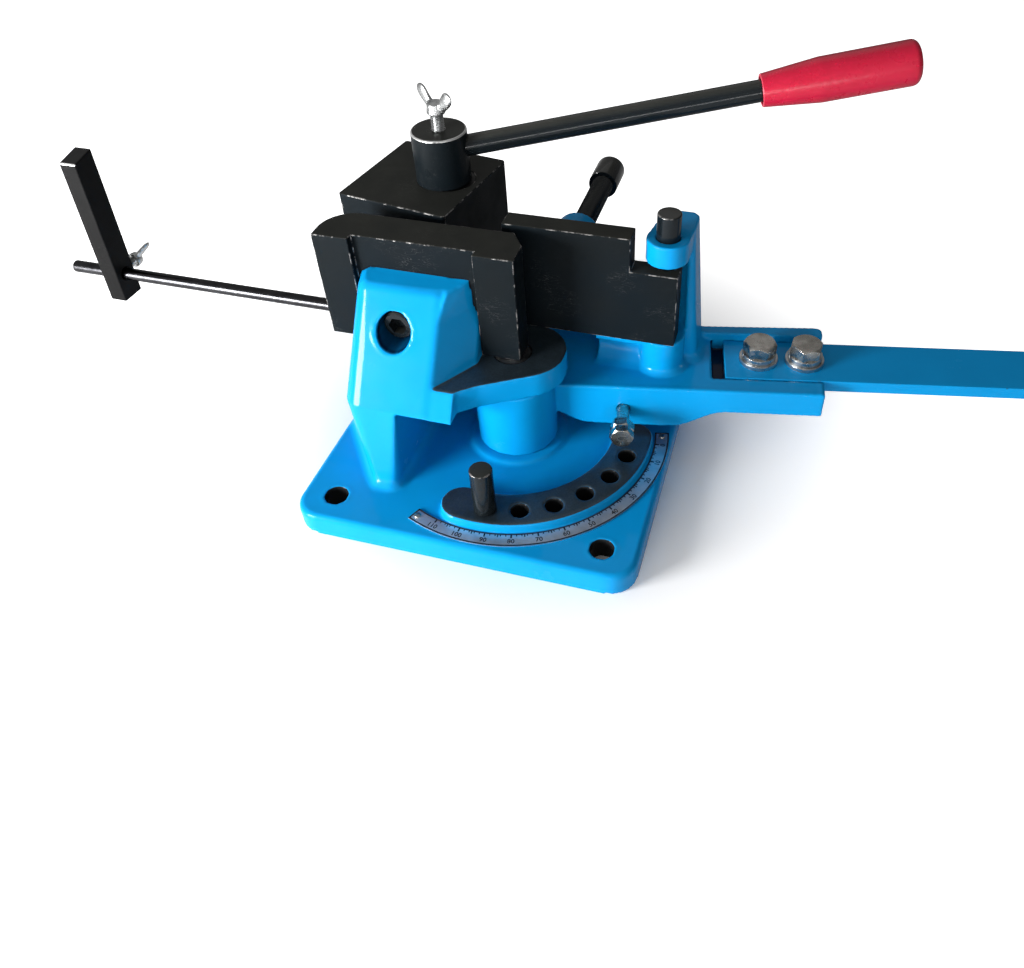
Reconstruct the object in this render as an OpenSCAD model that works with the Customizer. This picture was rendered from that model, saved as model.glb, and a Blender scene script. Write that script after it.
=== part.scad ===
// Hand bar bender for a bench: a cast base with a fixed jaw and a cam clamp,
// and a swinging arm whose former folds a flat or round bar round the jaw's nose.
// Millimetres, +Z up, origin at the middle of the base's underside, +X along the handle.

/* [Base plate] */
// Width of the base plate
base_w = 210; // [205:1:260]
// Depth of the base plate
base_d = 210; // [205:1:260]
// Thickness of the base plate
base_t = 15; // [12:0.5:20]
// Radius of the base plate's corners
base_corner_r = 16; // [8:1:18]
// Radius of the base plate's top edge
base_edge_r = 3; // [1:0.5:4]
// Distance between bench bolts across the width
bolt_pitch_x = 166; // [160:1:172]
// Distance between bench bolts across the depth
bolt_pitch_y = 172; // [166:1:176]
// Diameter of the bench bolt holes
bolt_hole_d = 14; // [10:0.5:17]

/* [Hinge] */
// Hinge axis to the right of the base's middle
pivot_x = 7; // [4:0.5:10]
// Hinge axis behind the base's middle
pivot_y = -4; // [-7:0.5:-1]
// Diameter of the hinge pin
pivot_d = 22; // [16:0.5:28]
// Diameter of the arm's hinge knuckle
knuckle_d = 51; // [44:0.5:60]
// Diameter of the machined seat under the knuckle
hinge_seat_d = 62; // [56:1:80]
// Height of that seat above the base plate
hinge_seat_h = 1.5; // [1:0.25:3]
// Height of the table that the jaws stand on
table_z = 80; // [76:1:96]
// Thickness of the table and of the hinge lug
table_t = 16; // [12:0.5:20]
// Radius of the lug's round end
lug_r = 26; // [22:0.5:30]

/* [Angle stop] */
// Inner radius of the raised quadrant pad
pad_r_in = 62; // [56:1:66]
// Outer radius of the raised quadrant pad
pad_r_out = 87; // [82:1:87]
// Height of the pad above the base plate
pad_h = 7; // [4:0.5:9]
// Radius of the row of stop holes
stop_ring_r = 75.5; // [72:0.5:78]
// Diameter of the stop holes
stop_hole_d = 10.5; // [8:0.5:13]
// Number of stop holes
stop_hole_count = 6; // [3:1:6]
// Angle between stop holes
stop_hole_pitch = 15.5; // [12:0.5:16]
// Direction of the first stop hole, where the pin stands
stop_hole_first = -87; // [-90:1:-80]
// Diameter of the stop pin's head
stop_pin_d = 13.5; // [11:0.5:17]
// Height of the stop pin's head above the pad
stop_pin_h = 33; // [26:1:40]
// Inner radius of the angle scale
scale_r_in = 88; // [87.5:0.25:89]
// Outer radius of the angle scale
scale_r_out = 97; // [94:0.5:98]
// Thickness of the angle scale
scale_t = 0.8; // [0.5:0.1:1.2]
// First direction of the angle scale
scale_from = -114.5; // [-116:0.5:-110]
// Last direction of the angle scale
scale_to = 12; // [8:0.5:14]

/* [Column] */
// Inner face of the column's wall
wall_in_x = -49; // [-54:1:-44]
// Thickness of the column's wall at the table
wall_t = 35; // [26:1:40]
// Depth of the table behind the jaw
table_back_y = 102; // [96:1:104]
// Right edge of the table behind the jaw
table_right_x = -12; // [-20:1:-8]
// Height of the column's head, above the table
head_h = 51; // [40:1:58]
// Depth of the column's head at its top
head_top_d = 14; // [10:1:18]
// How far the column's front leans, per unit of height
front_lean = 0.6; // [0.4:0.05:0.65]
// Radius of the column's outer front edge
column_corner_r = 12; // [8:1:14]
// Radius of the ridge between the head's front and its bevel
ridge_r = 5; // [2:0.5:6]
// Fillet round the column's foot
foot_fillet = 6; // [3:0.5:8]

/* [Fixed jaw] */
// Length of the fixed jaw
jaw_len = 122.4; // [110:0.4:132]
// Thickness of the fixed jaw
jaw_t = 28.5; // [22:0.5:29]
// Height of the fixed jaw
jaw_h = 70; // [58:1:86]
// End of the jaw's nose, right of the base's middle
nose_x = 14.4; // [10:0.2:18]
// Front face of the jaw
jaw_front_y = -11.5; // [-13:0.5:-10]
// Depth of the keyway that fits on the column's head
keyway_depth = 4.5; // [2:0.5:8]
// Left wall of the keyway
keyway_from = -85; // [-90:1:-80]
// Right wall of the keyway
keyway_to = -10; // [-13:1:-8]
// Radius of the jaw's rear left corner
jaw_corner_r = 20; // [8:1:22]
// Length of the nose's bevel along the jaw
nose_bevel_x = 8.4; // [5:0.2:11]
// Depth of the nose's bevel
nose_bevel_y = 12.4; // [8:0.2:15]
// Diameter of the jaw screw
jaw_screw_d = 12; // [10:1:14]
// Place of the jaw screw along the column
jaw_screw_x = -54; // [-60:1:-50]
// Height of the jaw screw above the table
jaw_screw_h = 25; // [20:1:32]

/* [Cam clamp] */
// Width of the clamp block
block_w = 75; // [66:1:78]
// Depth of the clamp block
block_d = 77; // [66:1:80]
// Angle of the clamp block to the jaw
block_skew = -9.4; // [-11:0.2:0]
// Cam shaft's axis across the base
cam_x = -56.6; // [-60:0.2:-54]
// Cam shaft's axis behind the base's middle
cam_y = 68; // [66:0.5:72]
// Clamp block's middle, left of the cam shaft's axis
block_off_x = -13.8; // [-16:0.2:-8]
// Clamp block's middle, behind the cam shaft's axis
block_off_y = -0.6; // [-3:0.2:2]
// Throw of the cam
cam_throw = 4; // [2:0.25:5]
// Diameter of the cam shaft's journal in the table
cam_journal_d = 22; // [16:0.5:24]
// Diameter of the cam itself
cam_d = 31; // [30:0.5:38]
// Length of the bearing boss under the table
cam_boss_h = 22; // [10:1:30]
// Diameter of the lever hub
hub_d = 34; // [28:0.5:40]
// Height of the lever hub
hub_h = 32; // [26:0.5:40]
// Diameter of the shaft's neck inside the hub
neck_d = 16; // [12:0.5:19]
// Diameter of the clamp lever
lever_d = 13; // [9:0.5:14]
// Length of the clamp lever outside the hub's axis
lever_len = 283.5; // [210:0.5:330]
// Rise of the clamp lever, in degrees
lever_rise = 9.4; // [6:0.1:18]
// Direction of the clamp lever at rest, in degrees behind the handle's side
lever_turn = 16.4; // [0:0.2:24]
// Height of the lever's axis at the hub, above the clamp block
lever_root_h = 18.8; // [15:0.2:21]
// Length of the lever's grip
grip_len = 90; // [60:0.5:110]
// Diameter of the grip's narrow end
grip_d_in = 19; // [17:0.5:22]
// Length of the grip's taper
grip_taper = 34; // [16:1:44]
// Diameter of the grip's wide end
grip_d_out = 26.5; // [23:0.5:32]
// Diameter of the wing bolt in the hub
hub_bolt_d = 8; // [6:1:10]
// Height of the wing bolt's collar above the hub
hub_bolt_stand = 10; // [4:1:16]
// Span of the hub bolt's wings
hub_wing_span = 25; // [20:1:32]

/* [Length stop] */
// Diameter of the stop rod
rod_d = 8; // [6:0.5:10]
// Length of the stop rod outside the jaw
rod_len = 196; // [150:1:260]
// Depth of the stop rod inside the jaw
rod_seat = 24; // [18:1:30]
// Height of the stop rod above the table
rod_h = 9; // [7:0.5:12]
// Distance of the finger from the jaw's end
finger_reach = 163; // [60:1:180]
// Thickness of the finger along the rod
finger_t = 11; // [8:0.5:16]
// Width of the finger
finger_w = 14; // [12:0.5:26]
// Height of the finger
finger_h = 98; // [70:1:130]
// Rise of the finger's slanted top towards its back
finger_top_rise = 3.6; // [0:0.2:6]
// Length of the finger below the rod
finger_below = 14; // [9:0.5:18]
// Lean of the finger, in degrees about the rod
finger_lean = -2.5; // [-8:0.5:8]
// Diameter of the finger's wing screw
finger_screw_d = 6; // [5:1:8]
// Span of the finger screw's wings
finger_wing_span = 22; // [18:1:28]

/* [Swing arm] */
// Direction of the arm at rest
arm_angle = 10.5; // [8:0.5:13]
// Front edge of the arm, in front of the line through the hinge
arm_front = 3; // [0:0.5:6]
// Top of the arm's plate
arm_top_z = 57.5; // [54:0.5:60]
// Thickness of the arm's plate
arm_t = 17.3; // [14:0.1:20]
// Length of the arm from the hinge
arm_len = 188.5; // [180:0.5:210]
// How much longer the arm's tail is at its back
tail_skew = 4; // [0:0.5:5]
// How much wider the arm's tail is at its end
tail_spread = 2; // [0:0.5:3]
// Depth of the belly under the arm's front
belly_h = 13; // [6:0.5:14]
// Thickness of the belly
belly_t = 14; // [10:0.5:20]
// Thickness of the wall behind the handle bar
rail_t = 7.5; // [5:0.5:10]
// Height of that wall above the plate
rail_h = 5; // [2:0.5:8]

/* [Handle] */
// Width of the handle bar
bar_w = 38; // [30:1:42]
// Thickness of the handle bar
bar_t = 8; // [6:0.5:10]
// Length of the handle bar
bar_len = 400; // [250:1:600]
// Distance of the bar's inner end from the hinge
bar_from = 129.5; // [126:0.5:134]
// Gap between the bar's inner end and the pocket
bar_end_gap = 8; // [2:0.5:10]
// Diameter of the handle bolts
handle_bolt_d = 12; // [10:1:14]
// First handle bolt from the bar's inner end
handle_bolt_first = 21; // [18:0.5:26]
// Distance between the handle bolts
handle_bolt_pitch = 28.5; // [26:0.5:32]

/* [Former] */
// Front face of the former
former_face_y = 23.2; // [20:0.1:26]
// Thickness of the former
former_t = 13.5; // [11:0.5:18]
// Left end of the former
former_left_x = -4.2; // [-8:0.2:0]
// Right end of the former
former_right_x = 100; // [98:0.5:102]
// Height of the tongue under the pin's ring
tongue_h = 49; // [40:0.5:54]
// Length of the tongue
tongue_len = 28; // [26:0.5:32]
// Diameter of the former's pin
former_pin_d = 14; // [11:0.5:17]
// Place of the former's pin along the base
former_pin_x = 91; // [89:0.5:92]
// Distance of the former's pin behind the face
former_pin_back = 13.5; // [12:0.1:17]
// Diameter of the ring round the pin
ring_d = 25; // [24:0.5:30]
// Diameter of the boss under the former's pin
seat_boss_d = 27; // [25:0.5:30]
// Depth of the hollow under the seat's lip
seat_hollow = 8; // [2:0.5:10]
// Height of the pin above the ring
former_pin_stand = 15.5; // [8:0.5:24]
// Diameter of the adjusting screw
adjuster_d = 14; // [10:0.5:16]
// Length of the adjusting screw under its head
adjuster_len = 98.5; // [88:0.5:120]
// Place of the adjusting screw along the base
adjuster_x = 28; // [24:0.5:34]
// Height of the adjusting screw above the table
adjuster_h = 40; // [30:1:48]
// Diameter of the boss for the adjusting screw
adjuster_boss_d = 28; // [24:1:36]
// Thickness of the wall behind the former
brace_t = 14; // [10:0.5:18]
// Gap between the former's back and that wall
brace_gap = 17; // [15:0.5:22]

/* [Arm stop] */
// Diameter of the arm's stop bolt
stop_bolt_d = 8; // [6:1:10]
// Place of the stop bolt along the arm
stop_bolt_at = 67.5; // [60:0.5:72]
// Height of the stop bolt
stop_bolt_z = 40; // [34:0.5:44]
// Reach of the stop bolt's head in front of the arm
stop_bolt_reach = 27; // [20:0.5:36]

/* [Fits] */
// Gap on the diameter between a pin and its bore
pin_fit = 0.1; // [0.04:0.02:0.2]
// Gap between faces that slide past each other
face_gap = 0.4; // [0.3:0.05:0.8]

/* [Hidden] */
$fn = 64;

paint_blue = [0.03, 0.45, 0.78];
oxide_black = [0.09, 0.09, 0.10];
zinc = [0.75, 0.76, 0.77];
grip_red = [0.75, 0.02, 0.10];
scale_silver = [0.70, 0.72, 0.75];
eps = 0.01;

// Levels
pad_z = base_t + pad_h;
seat_z = base_t + hinge_seat_h;
table_low_z = table_z - table_t;
jaw_top_z = table_z + jaw_h;
head_z = table_z + head_h;

// Fixed jaw
jaw_left_x = nose_x - jaw_len;
jaw_back_y = jaw_front_y + jaw_t;
key_y = jaw_front_y + keyway_depth;
rod_y = jaw_front_y + jaw_t / 2;
rod_z = table_z + rod_h;
jaw_screw_z = table_z + jaw_screw_h;
screw_head_d = 1.5 * jaw_screw_d;
counterbore_d = screw_head_d + 3;
counterbore_floor_y = key_y - 8;
jaw_screw_tip_y = jaw_back_y - 4;

// Column's front, from the head's front edge down to the table's underside
head_front_y = key_y - head_top_d;
head_crease_z = head_z - 5;
function front_y(z) = head_front_y - front_lean * (head_crease_z - z);
foot_front_y = front_y(table_low_z) - 14;
wall_out_x = wall_in_x - wall_t;
foot_left_x = -base_w / 2 + 2;
foot_back_y = min(table_back_y, bolt_pitch_y / 2 - bolt_hole_d / 2 - 9);
ridge_x = wall_in_x + 21;
apron_right_x = ridge_x + 14;

// Hinge lug, whose round end lies a little behind and right of the hinge axis
lug_x = pivot_x + 6;
lug_y = pivot_y + 4;
lug_line_angle = 30.2;
lug_tangent = [lug_x + lug_r * sin(lug_line_angle), lug_y - lug_r * cos(lug_line_angle)];
lug_corner_x = apron_right_x + 10.6;
lug_corner = [lug_corner_x, lug_tangent.y - (lug_tangent.x - lug_corner_x) * tan(lug_line_angle)];
pivot_floor_z = 4;

// Clamp
block_z = table_z + face_gap;
block_top_z = jaw_top_z;
cam_pos = [cam_x + cam_throw, cam_y];
block_pos = [cam_x + block_off_x, cam_y + block_off_y];
hub_z = block_top_z + face_gap;
hub_top_z = hub_z + hub_h;
neck_top_z = hub_top_z - 7;
journal_low_z = table_low_z - cam_boss_h;
lever_z = block_top_z + lever_root_h;
finger_x = jaw_left_x - finger_reach;

// Arm
arm_low_z = arm_top_z - arm_t;
knuckle_low_z = seat_z + 0.3;
knuckle_top_z = table_low_z - 0.3;
pocket_front = 9.8;
bar_front = pocket_front + 0.3;
bar_mid = bar_front + bar_w / 2;
pocket_back = bar_front + bar_w + 0.3;
pocket_z = arm_top_z - bar_t;
rail_z = arm_top_z + rail_h;
washer_t = 3;
spring_washer_t = 3.5;
bolt_head_h = 8;
handle_bolt_places = [for (i = [0, 1]) bar_from + handle_bolt_first + i * handle_bolt_pitch];
stop_nut_h = 6.5;
stop_head_h = 5.5;

// Former
former_low_z = table_z + 0.5;
former_top_z = jaw_top_z + 1;
former_back_y = former_face_y + former_t;
tongue_z = former_low_z + tongue_h;
pin_y = former_face_y + former_pin_back;
ring_low_z = tongue_z + 4;
ring_top_z = jaw_top_z - 2.5;
seat_low_z = former_low_z - face_gap;
pin_floor_z = arm_low_z + 8;
brace_y = former_back_y + brace_gap;
adjuster_z = table_z + adjuster_h;
adjuster_tip_y = former_back_y + 0.3;
adjuster_head_y = adjuster_tip_y + adjuster_len;
adjuster_head_d = adjuster_d + 5.5;
adjuster_head_h = 24;
upright_right_x = former_pin_x + 13.5;
foot_right_x = upright_right_x + 7;
upright_back_y = brace_y + brace_t;

// Rectangle with round corners, from its lower left corner
module rounded_rect(w, d, r) {
    translate([r, 0]) square([w - 2 * r, d]);
    translate([0, r]) square([w, d - 2 * r]);
    for (x = [r, w - r], y = [r, d - r]) translate([x, y]) circle(r);
}

// Puts a shape that is drawn along +Z onto the given direction
module along(pos, dir) {
    translate(pos)
        rotate([0, acos(dir.z / norm(dir)), atan2(dir.y, dir.x)])
            children();
}

// Moves a shape from the arm's own frame, with the hinge at its origin, to its place at rest
module on_arm() {
    translate([pivot_x, pivot_y, 0]) rotate([0, 0, arm_angle]) children();
}

// Hexagonal head or nut with its corners turned off, across flats af
module hex_head(af, h) {
    intersection() {
        cylinder(d = af / cos(30), h = h, $fn = 6);
        union() {
            cylinder(d = af / cos(30), h = h * 0.8);
            translate([0, 0, h * 0.8]) cylinder(d1 = af / cos(30), d2 = af * 0.96, h = h * 0.2);
        }
    }
}

// Socket head with a hexagonal socket in its free end
module socket_head(d, h, af) {
    difference() {
        union() {
            cylinder(d = d, h = h - 1);
            translate([0, 0, h - 1]) cylinder(d1 = d, d2 = d - 2, h = 1);
        }
        translate([0, 0, h / 2]) cylinder(d = af / cos(30), h = h, $fn = 6);
    }
}

// Two flat wings, round at their tips, that stand up from a screw's collar
module wings(span, h, t, collar_d) {
    r = h * 0.36;
    for (side = [-1, 1])
        rotate([90, 0, 0]) linear_extrude(t, center = true) {
            translate([side * (span / 2 - r), h - r]) circle(r);
            polygon([[side * collar_d * 0.3, 0],
                     [side * collar_d * 0.48, 0],
                     [side * (span / 2 - r * 0.25), h - r * 1.85],
                     [side * (span / 2 - r * 1.8), h - r * 0.45],
                     [side * collar_d * 0.3, h * 0.45]]);
        }
}

// Fillet skirt round a boss that stands on a flat face
module boss_fillet(r, fillet) {
    rotate_extrude()
        difference() {
            square([r + fillet, fillet]);
            translate([r + fillet, fillet]) circle(fillet);
        }
}

// Outline of the base plate, set in by the given amount
module base_outline(inset) {
    translate([-base_w / 2 + inset, -base_d / 2 + inset])
        rounded_rect(base_w - 2 * inset, base_d - 2 * inset, base_corner_r - inset);
}

module base_plate() {
    hull() {
        linear_extrude(base_t - base_edge_r) base_outline(0);
        for (a = [30, 60, 90])
            translate([0, 0, base_t - base_edge_r * (1 - sin(a)) - eps])
                linear_extrude(eps) base_outline(base_edge_r * (1 - cos(a)));
    }
}

// Raised sector with round ends that carries the stop holes
module quadrant_pad() {
    pad_mid = (pad_r_in + pad_r_out) / 2;
    half = (pad_r_out - pad_r_in) / 2 - 0.05;
    from = stop_hole_first - 12;
    to = stop_hole_first + (stop_hole_count - 1) * stop_hole_pitch + 14;
    translate([pivot_x, pivot_y, base_t - eps]) {
        rotate([0, 0, from])
            rotate_extrude(angle = to - from)
                polygon([[pad_r_in, 0], [pad_r_out, 0], [pad_r_out, pad_h - 1], [pad_r_out - 1, pad_h],
                         [pad_r_in + 1, pad_h], [pad_r_in, pad_h - 1]]);
        for (a = [from, to])
            rotate([0, 0, a]) translate([pad_mid, 0, 0]) {
                cylinder(r = half, h = pad_h - 1);
                translate([0, 0, pad_h - 1]) cylinder(r1 = half, r2 = half - 1, h = 1 + eps);
            }
    }
}

// Outline of the column's foot, grown by the given amount
module column_foot(grow) {
    offset(r = grow + 6) offset(delta = -6)
        polygon([[wall_in_x, foot_front_y], [wall_in_x - 14, foot_front_y], [foot_left_x, -20],
                 [foot_left_x, foot_back_y], [wall_in_x, foot_back_y]]);
}

// Column wall that flares from the table's width to the base plate's left edge
module column_wall() {
    front = front_y(table_low_z);
    hull() {
        translate([0, 0, base_t - 1]) linear_extrude(1.5) column_foot(0);
        translate([0, 0, table_low_z]) linear_extrude(0.5) {
            translate([wall_out_x + column_corner_r, front + column_corner_r]) circle(column_corner_r);
            translate([wall_out_x + 6, table_back_y - 6]) circle(6);
            translate([wall_in_x - 1, front]) square([1, table_back_y - front]);
        }
    }
}

// Fillet round the column's foot, kept on the base plate's flat top
module column_fillet() {
    rings = [[foot_fillet, 0], [foot_fillet * 0.4, foot_fillet * 0.2],
             [0, foot_fillet * 0.6], [-2.5, foot_fillet]];
    intersection() {
        for (i = [0 : 2]) hull() for (ring = [rings[i], rings[i + 1]])
            translate([0, 0, base_t - 0.5 + ring[1]]) linear_extrude(eps) column_foot(ring[0]);
        linear_extrude(base_t + foot_fillet) base_outline(base_edge_r);
    }
}

// Leaning head that the fixed jaw is keyed and screwed to
module column_head() {
    front = front_y(table_low_z);
    back = key_y + 3;
    top_r = column_corner_r - 2;
    bevel_x = ridge_x + 18;
    intersection() {
        hull() {
            translate([0, 0, table_low_z]) linear_extrude(1) {
                translate([wall_out_x + column_corner_r, front + column_corner_r])
                    circle(column_corner_r, $fn = 32);
                translate([ridge_x - 0.6 * ridge_r, front + ridge_r]) circle(ridge_r, $fn = 24);
                polygon([[wall_out_x + 1, back - 1], [bevel_x, key_y - 22], [keyway_to - 1.2, back],
                         [wall_out_x + 1, back]]);
            }
            translate([0, 0, table_z]) linear_extrude(1)
                polygon([[bevel_x, key_y - 13], [keyway_to - 1.2, back], [ridge_x, back]]);
            translate([ridge_x, key_y, head_crease_z - 20]) cube([17, 3, 1]);
            translate([wall_out_x + 2, key_y, head_crease_z]) cube([ridge_x + 7.5 - wall_out_x, 3, 0.5]);
            translate([wall_out_x + 2 + top_r, head_front_y + top_r * 0.75, head_z - top_r * 1.2])
                sphere(top_r, $fn = 24);
            translate([ridge_x + 1 - ridge_r * 0.58, head_front_y + ridge_r * 0.72, head_crease_z - ridge_r * 0.76])
                sphere(ridge_r, $fn = 20);
            for (x = [wall_out_x + 11, ridge_x])
                translate([x, back, head_z - 6]) rotate([90, 0, 0]) cylinder(r = 6, h = 7, $fn = 32);
        }
        translate([-base_w, key_y - base_d, 0]) cube([2 * base_w, base_d, 2 * head_z]);
    }
}

// Apron in front of the table, in line with the leaning head
module apron() {
    translate([wall_in_x - 1, 0, 0])
        rotate([90, 0, 90])
            linear_extrude(apron_right_x - wall_in_x + 1)
                polygon([[front_y(table_low_z), table_low_z], [front_y(table_z), table_z],
                         [key_y, table_z], [key_y, table_low_z]]);
}

// Table behind and under the jaw, with the lug that holds the top of the hinge pin
module table_and_lug() {
    translate([0, 0, table_low_z]) linear_extrude(table_t) {
        polygon([[wall_out_x, front_y(table_z) + 16], [apron_right_x, front_y(table_z) + 0.5], lug_corner,
                 lug_tangent, [lug_x, lug_y], [lug_x, lug_y + lug_r], [table_right_x, lug_y + lug_r],
                 [table_right_x, table_back_y - 8], [table_right_x - 8, table_back_y],
                 [wall_out_x, table_back_y]]);
        translate([lug_x, lug_y]) circle(lug_r);
    }
}

module base_casting() {
    color(paint_blue)
    difference() {
        union() {
            base_plate();
            quadrant_pad();
            column_wall();
            column_fillet();
            column_head();
            apron();
            table_and_lug();
            translate([pivot_x, pivot_y, base_t - eps]) {
                cylinder(d = hinge_seat_d, h = hinge_seat_h + eps);
                boss_fillet(hinge_seat_d / 2 - 0.5, hinge_seat_h);
            }
            translate([cam_x, cam_y, journal_low_z])
                cylinder(d = cam_journal_d + 20, h = cam_boss_h + 1);
        }
        for (x = [-1, 1], y = [-1, 1])
            translate([x * bolt_pitch_x / 2, y * bolt_pitch_y / 2, -1])
                cylinder(d = bolt_hole_d, h = base_t + 2);
        translate([pivot_x, pivot_y, pivot_floor_z])
            cylinder(d = pivot_d + pin_fit, h = table_z);
        for (i = [0 : stop_hole_count - 1])
            translate([pivot_x, pivot_y, -1])
                rotate([0, 0, stop_hole_first + i * stop_hole_pitch])
                    translate([stop_ring_r, 0, 0]) cylinder(d = stop_hole_d, h = pad_z + 2);
        translate([jaw_screw_x, key_y + 1, jaw_screw_z]) rotate([90, 0, 0]) {
            cylinder(d = jaw_screw_d + 1, h = 90);
            translate([0, 0, key_y + 1 - counterbore_floor_y]) cylinder(d = counterbore_d, h = 90);
        }
        translate([cam_x, cam_y, journal_low_z + 4])
            cylinder(d = cam_journal_d + pin_fit, h = table_t + cam_boss_h);
        rivet_places(base_t - 4.5) cylinder(d = 2.5, h = 6);
    }
}

// Ends of the scale where its rivets sit
module rivet_places(z) {
    for (a = [scale_from + 2, scale_to - 2])
        translate([pivot_x, pivot_y, z])
            rotate([0, 0, a]) translate([(scale_r_in + scale_r_out) / 2, 0, 0]) children();
}

module angle_scale() {
    color(scale_silver)
    difference() {
        translate([pivot_x, pivot_y, base_t])
            rotate([0, 0, scale_from])
                rotate_extrude(angle = scale_to - scale_from)
                    translate([scale_r_in, 0]) square([scale_r_out - scale_r_in, scale_t]);
        rivet_places(base_t - 1) cylinder(d = 2.5, h = scale_t + 2);
    }
}

module scale_rivets() {
    color(zinc)
    rivet_places(base_t - 4) {
        cylinder(d = 2.4, h = 4 + scale_t);
        translate([0, 0, 4 + scale_t]) cylinder(d1 = 4.6, d2 = 3, h = 0.9);
    }
}

module pivot_pin() {
    color(zinc)
    translate([pivot_x, pivot_y, pivot_floor_z + 0.2]) {
        cylinder(d1 = pivot_d - 2, d2 = pivot_d, h = 1);
        translate([0, 0, 1]) cylinder(d = pivot_d, h = table_z - pivot_floor_z - 1.2 - 0.3);
    }
}

// Plan of the fixed jaw with its round rear corner and bevelled nose
module jaw_plan() {
    difference() {
        translate([jaw_left_x, jaw_front_y]) square([jaw_len, jaw_t]);
        translate([jaw_left_x - 1, jaw_back_y - jaw_corner_r]) square([jaw_corner_r + 1, jaw_corner_r + 1]);
        polygon([[nose_x + 1, jaw_back_y + 1], [nose_x + 1, jaw_back_y - nose_bevel_y],
                 [nose_x, jaw_back_y - nose_bevel_y], [nose_x - nose_bevel_x, jaw_back_y],
                 [nose_x - nose_bevel_x, jaw_back_y + 1]]);
        translate([keyway_from, jaw_front_y - 1]) square([keyway_to - keyway_from, keyway_depth + 1]);
    }
    translate([jaw_left_x + jaw_corner_r, jaw_back_y - jaw_corner_r]) intersection() {
        circle(jaw_corner_r);
        translate([-jaw_corner_r, 0]) square(jaw_corner_r);
    }
}

module fixed_jaw() {
    color(oxide_black)
    difference() {
        translate([0, 0, table_z]) linear_extrude(jaw_h) jaw_plan();
        translate([jaw_left_x - 1, rod_y, rod_z]) rotate([0, 90, 0])
            cylinder(d = rod_d + pin_fit, h = rod_seat + 4);
        translate([jaw_screw_x, key_y - 1, jaw_screw_z]) rotate([-90, 0, 0])
            cylinder(d = jaw_screw_d + pin_fit, h = jaw_screw_tip_y - key_y + 3);
    }
}

module jaw_screw() {
    color(oxide_black)
    translate([jaw_screw_x, counterbore_floor_y, jaw_screw_z]) rotate([90, 0, 0]) {
        socket_head(screw_head_d, jaw_screw_d, jaw_screw_d * 0.83);
        rotate([180, 0, 0]) cylinder(d = jaw_screw_d, h = jaw_screw_tip_y - counterbore_floor_y);
    }
}

module clamp_block() {
    chamfer = 1.2;
    half_w = block_w / 2;
    half_d = block_d / 2;
    color(oxide_black)
    difference() {
        translate([block_pos.x, block_pos.y, block_z]) rotate([0, 0, block_skew])
            linear_extrude(block_top_z - block_z)
                polygon([[-half_w + chamfer, -half_d], [half_w - chamfer, -half_d],
                         [half_w, -half_d + chamfer], [half_w, half_d - chamfer],
                         [half_w - chamfer, half_d], [-half_w + chamfer, half_d],
                         [-half_w, half_d - chamfer], [-half_w, -half_d + chamfer]]);
        translate([cam_pos.x, cam_pos.y, table_z]) cylinder(d = cam_d + pin_fit, h = jaw_h + 1);
    }
}

module cam_shaft() {
    color(zinc)
    difference() {
        union() {
            translate([cam_x, cam_y, journal_low_z + 4.3])
                cylinder(d = cam_journal_d, h = table_z - journal_low_z - 4);
            translate([cam_pos.x, cam_pos.y, table_z + 0.3])
                cylinder(d = cam_d, h = jaw_h - 0.6);
            translate([cam_x, cam_y, block_top_z - 0.5])
                cylinder(d = neck_d, h = neck_top_z - block_top_z + 0.5);
        }
        translate([cam_x, cam_y, hub_z + 4]) cylinder(d = hub_bolt_d + pin_fit, h = hub_h);
    }
}

// Line of the clamp lever, from the hub's axis outwards
module on_lever() {
    translate([cam_x, cam_y, lever_z]) rotate([0, 90 - lever_rise, lever_turn]) children();
}

module lever_hub() {
    color(oxide_black)
    difference() {
        translate([cam_x, cam_y, hub_z]) {
            cylinder(d = hub_d, h = hub_h - 1);
            translate([0, 0, hub_h - 1]) cylinder(d1 = hub_d, d2 = hub_d - 2, h = 1);
        }
        translate([cam_x, cam_y, hub_z - 1]) cylinder(d = neck_d + pin_fit, h = neck_top_z - hub_z + 1.3);
        translate([cam_x, cam_y, hub_z]) cylinder(d = hub_bolt_d + pin_fit, h = hub_h + 1);
        on_lever() cylinder(d = lever_d + pin_fit, h = hub_d);
    }
}

module hub_wing_bolt() {
    collar_d = hub_bolt_d * 1.45;
    collar_z = hub_top_z + hub_bolt_stand;
    color(zinc)
    translate([cam_x, cam_y, 0]) {
        translate([0, 0, hub_z + 5]) cylinder(d = hub_bolt_d, h = collar_z - hub_z - 5 + eps);
        translate([0, 0, collar_z]) {
            cylinder(d1 = collar_d, d2 = collar_d * 0.8, h = 7);
            rotate([0, 0, -40]) wings(hub_wing_span, 15, 2.6, collar_d);
        }
    }
}

module clamp_lever() {
    lever_from = neck_d / 2 + 1.5 + lever_d / 2 * tan(lever_rise);
    color(oxide_black)
    on_lever() translate([0, 0, lever_from]) cylinder(d = lever_d, h = lever_len - 8 - lever_from);
}

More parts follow.
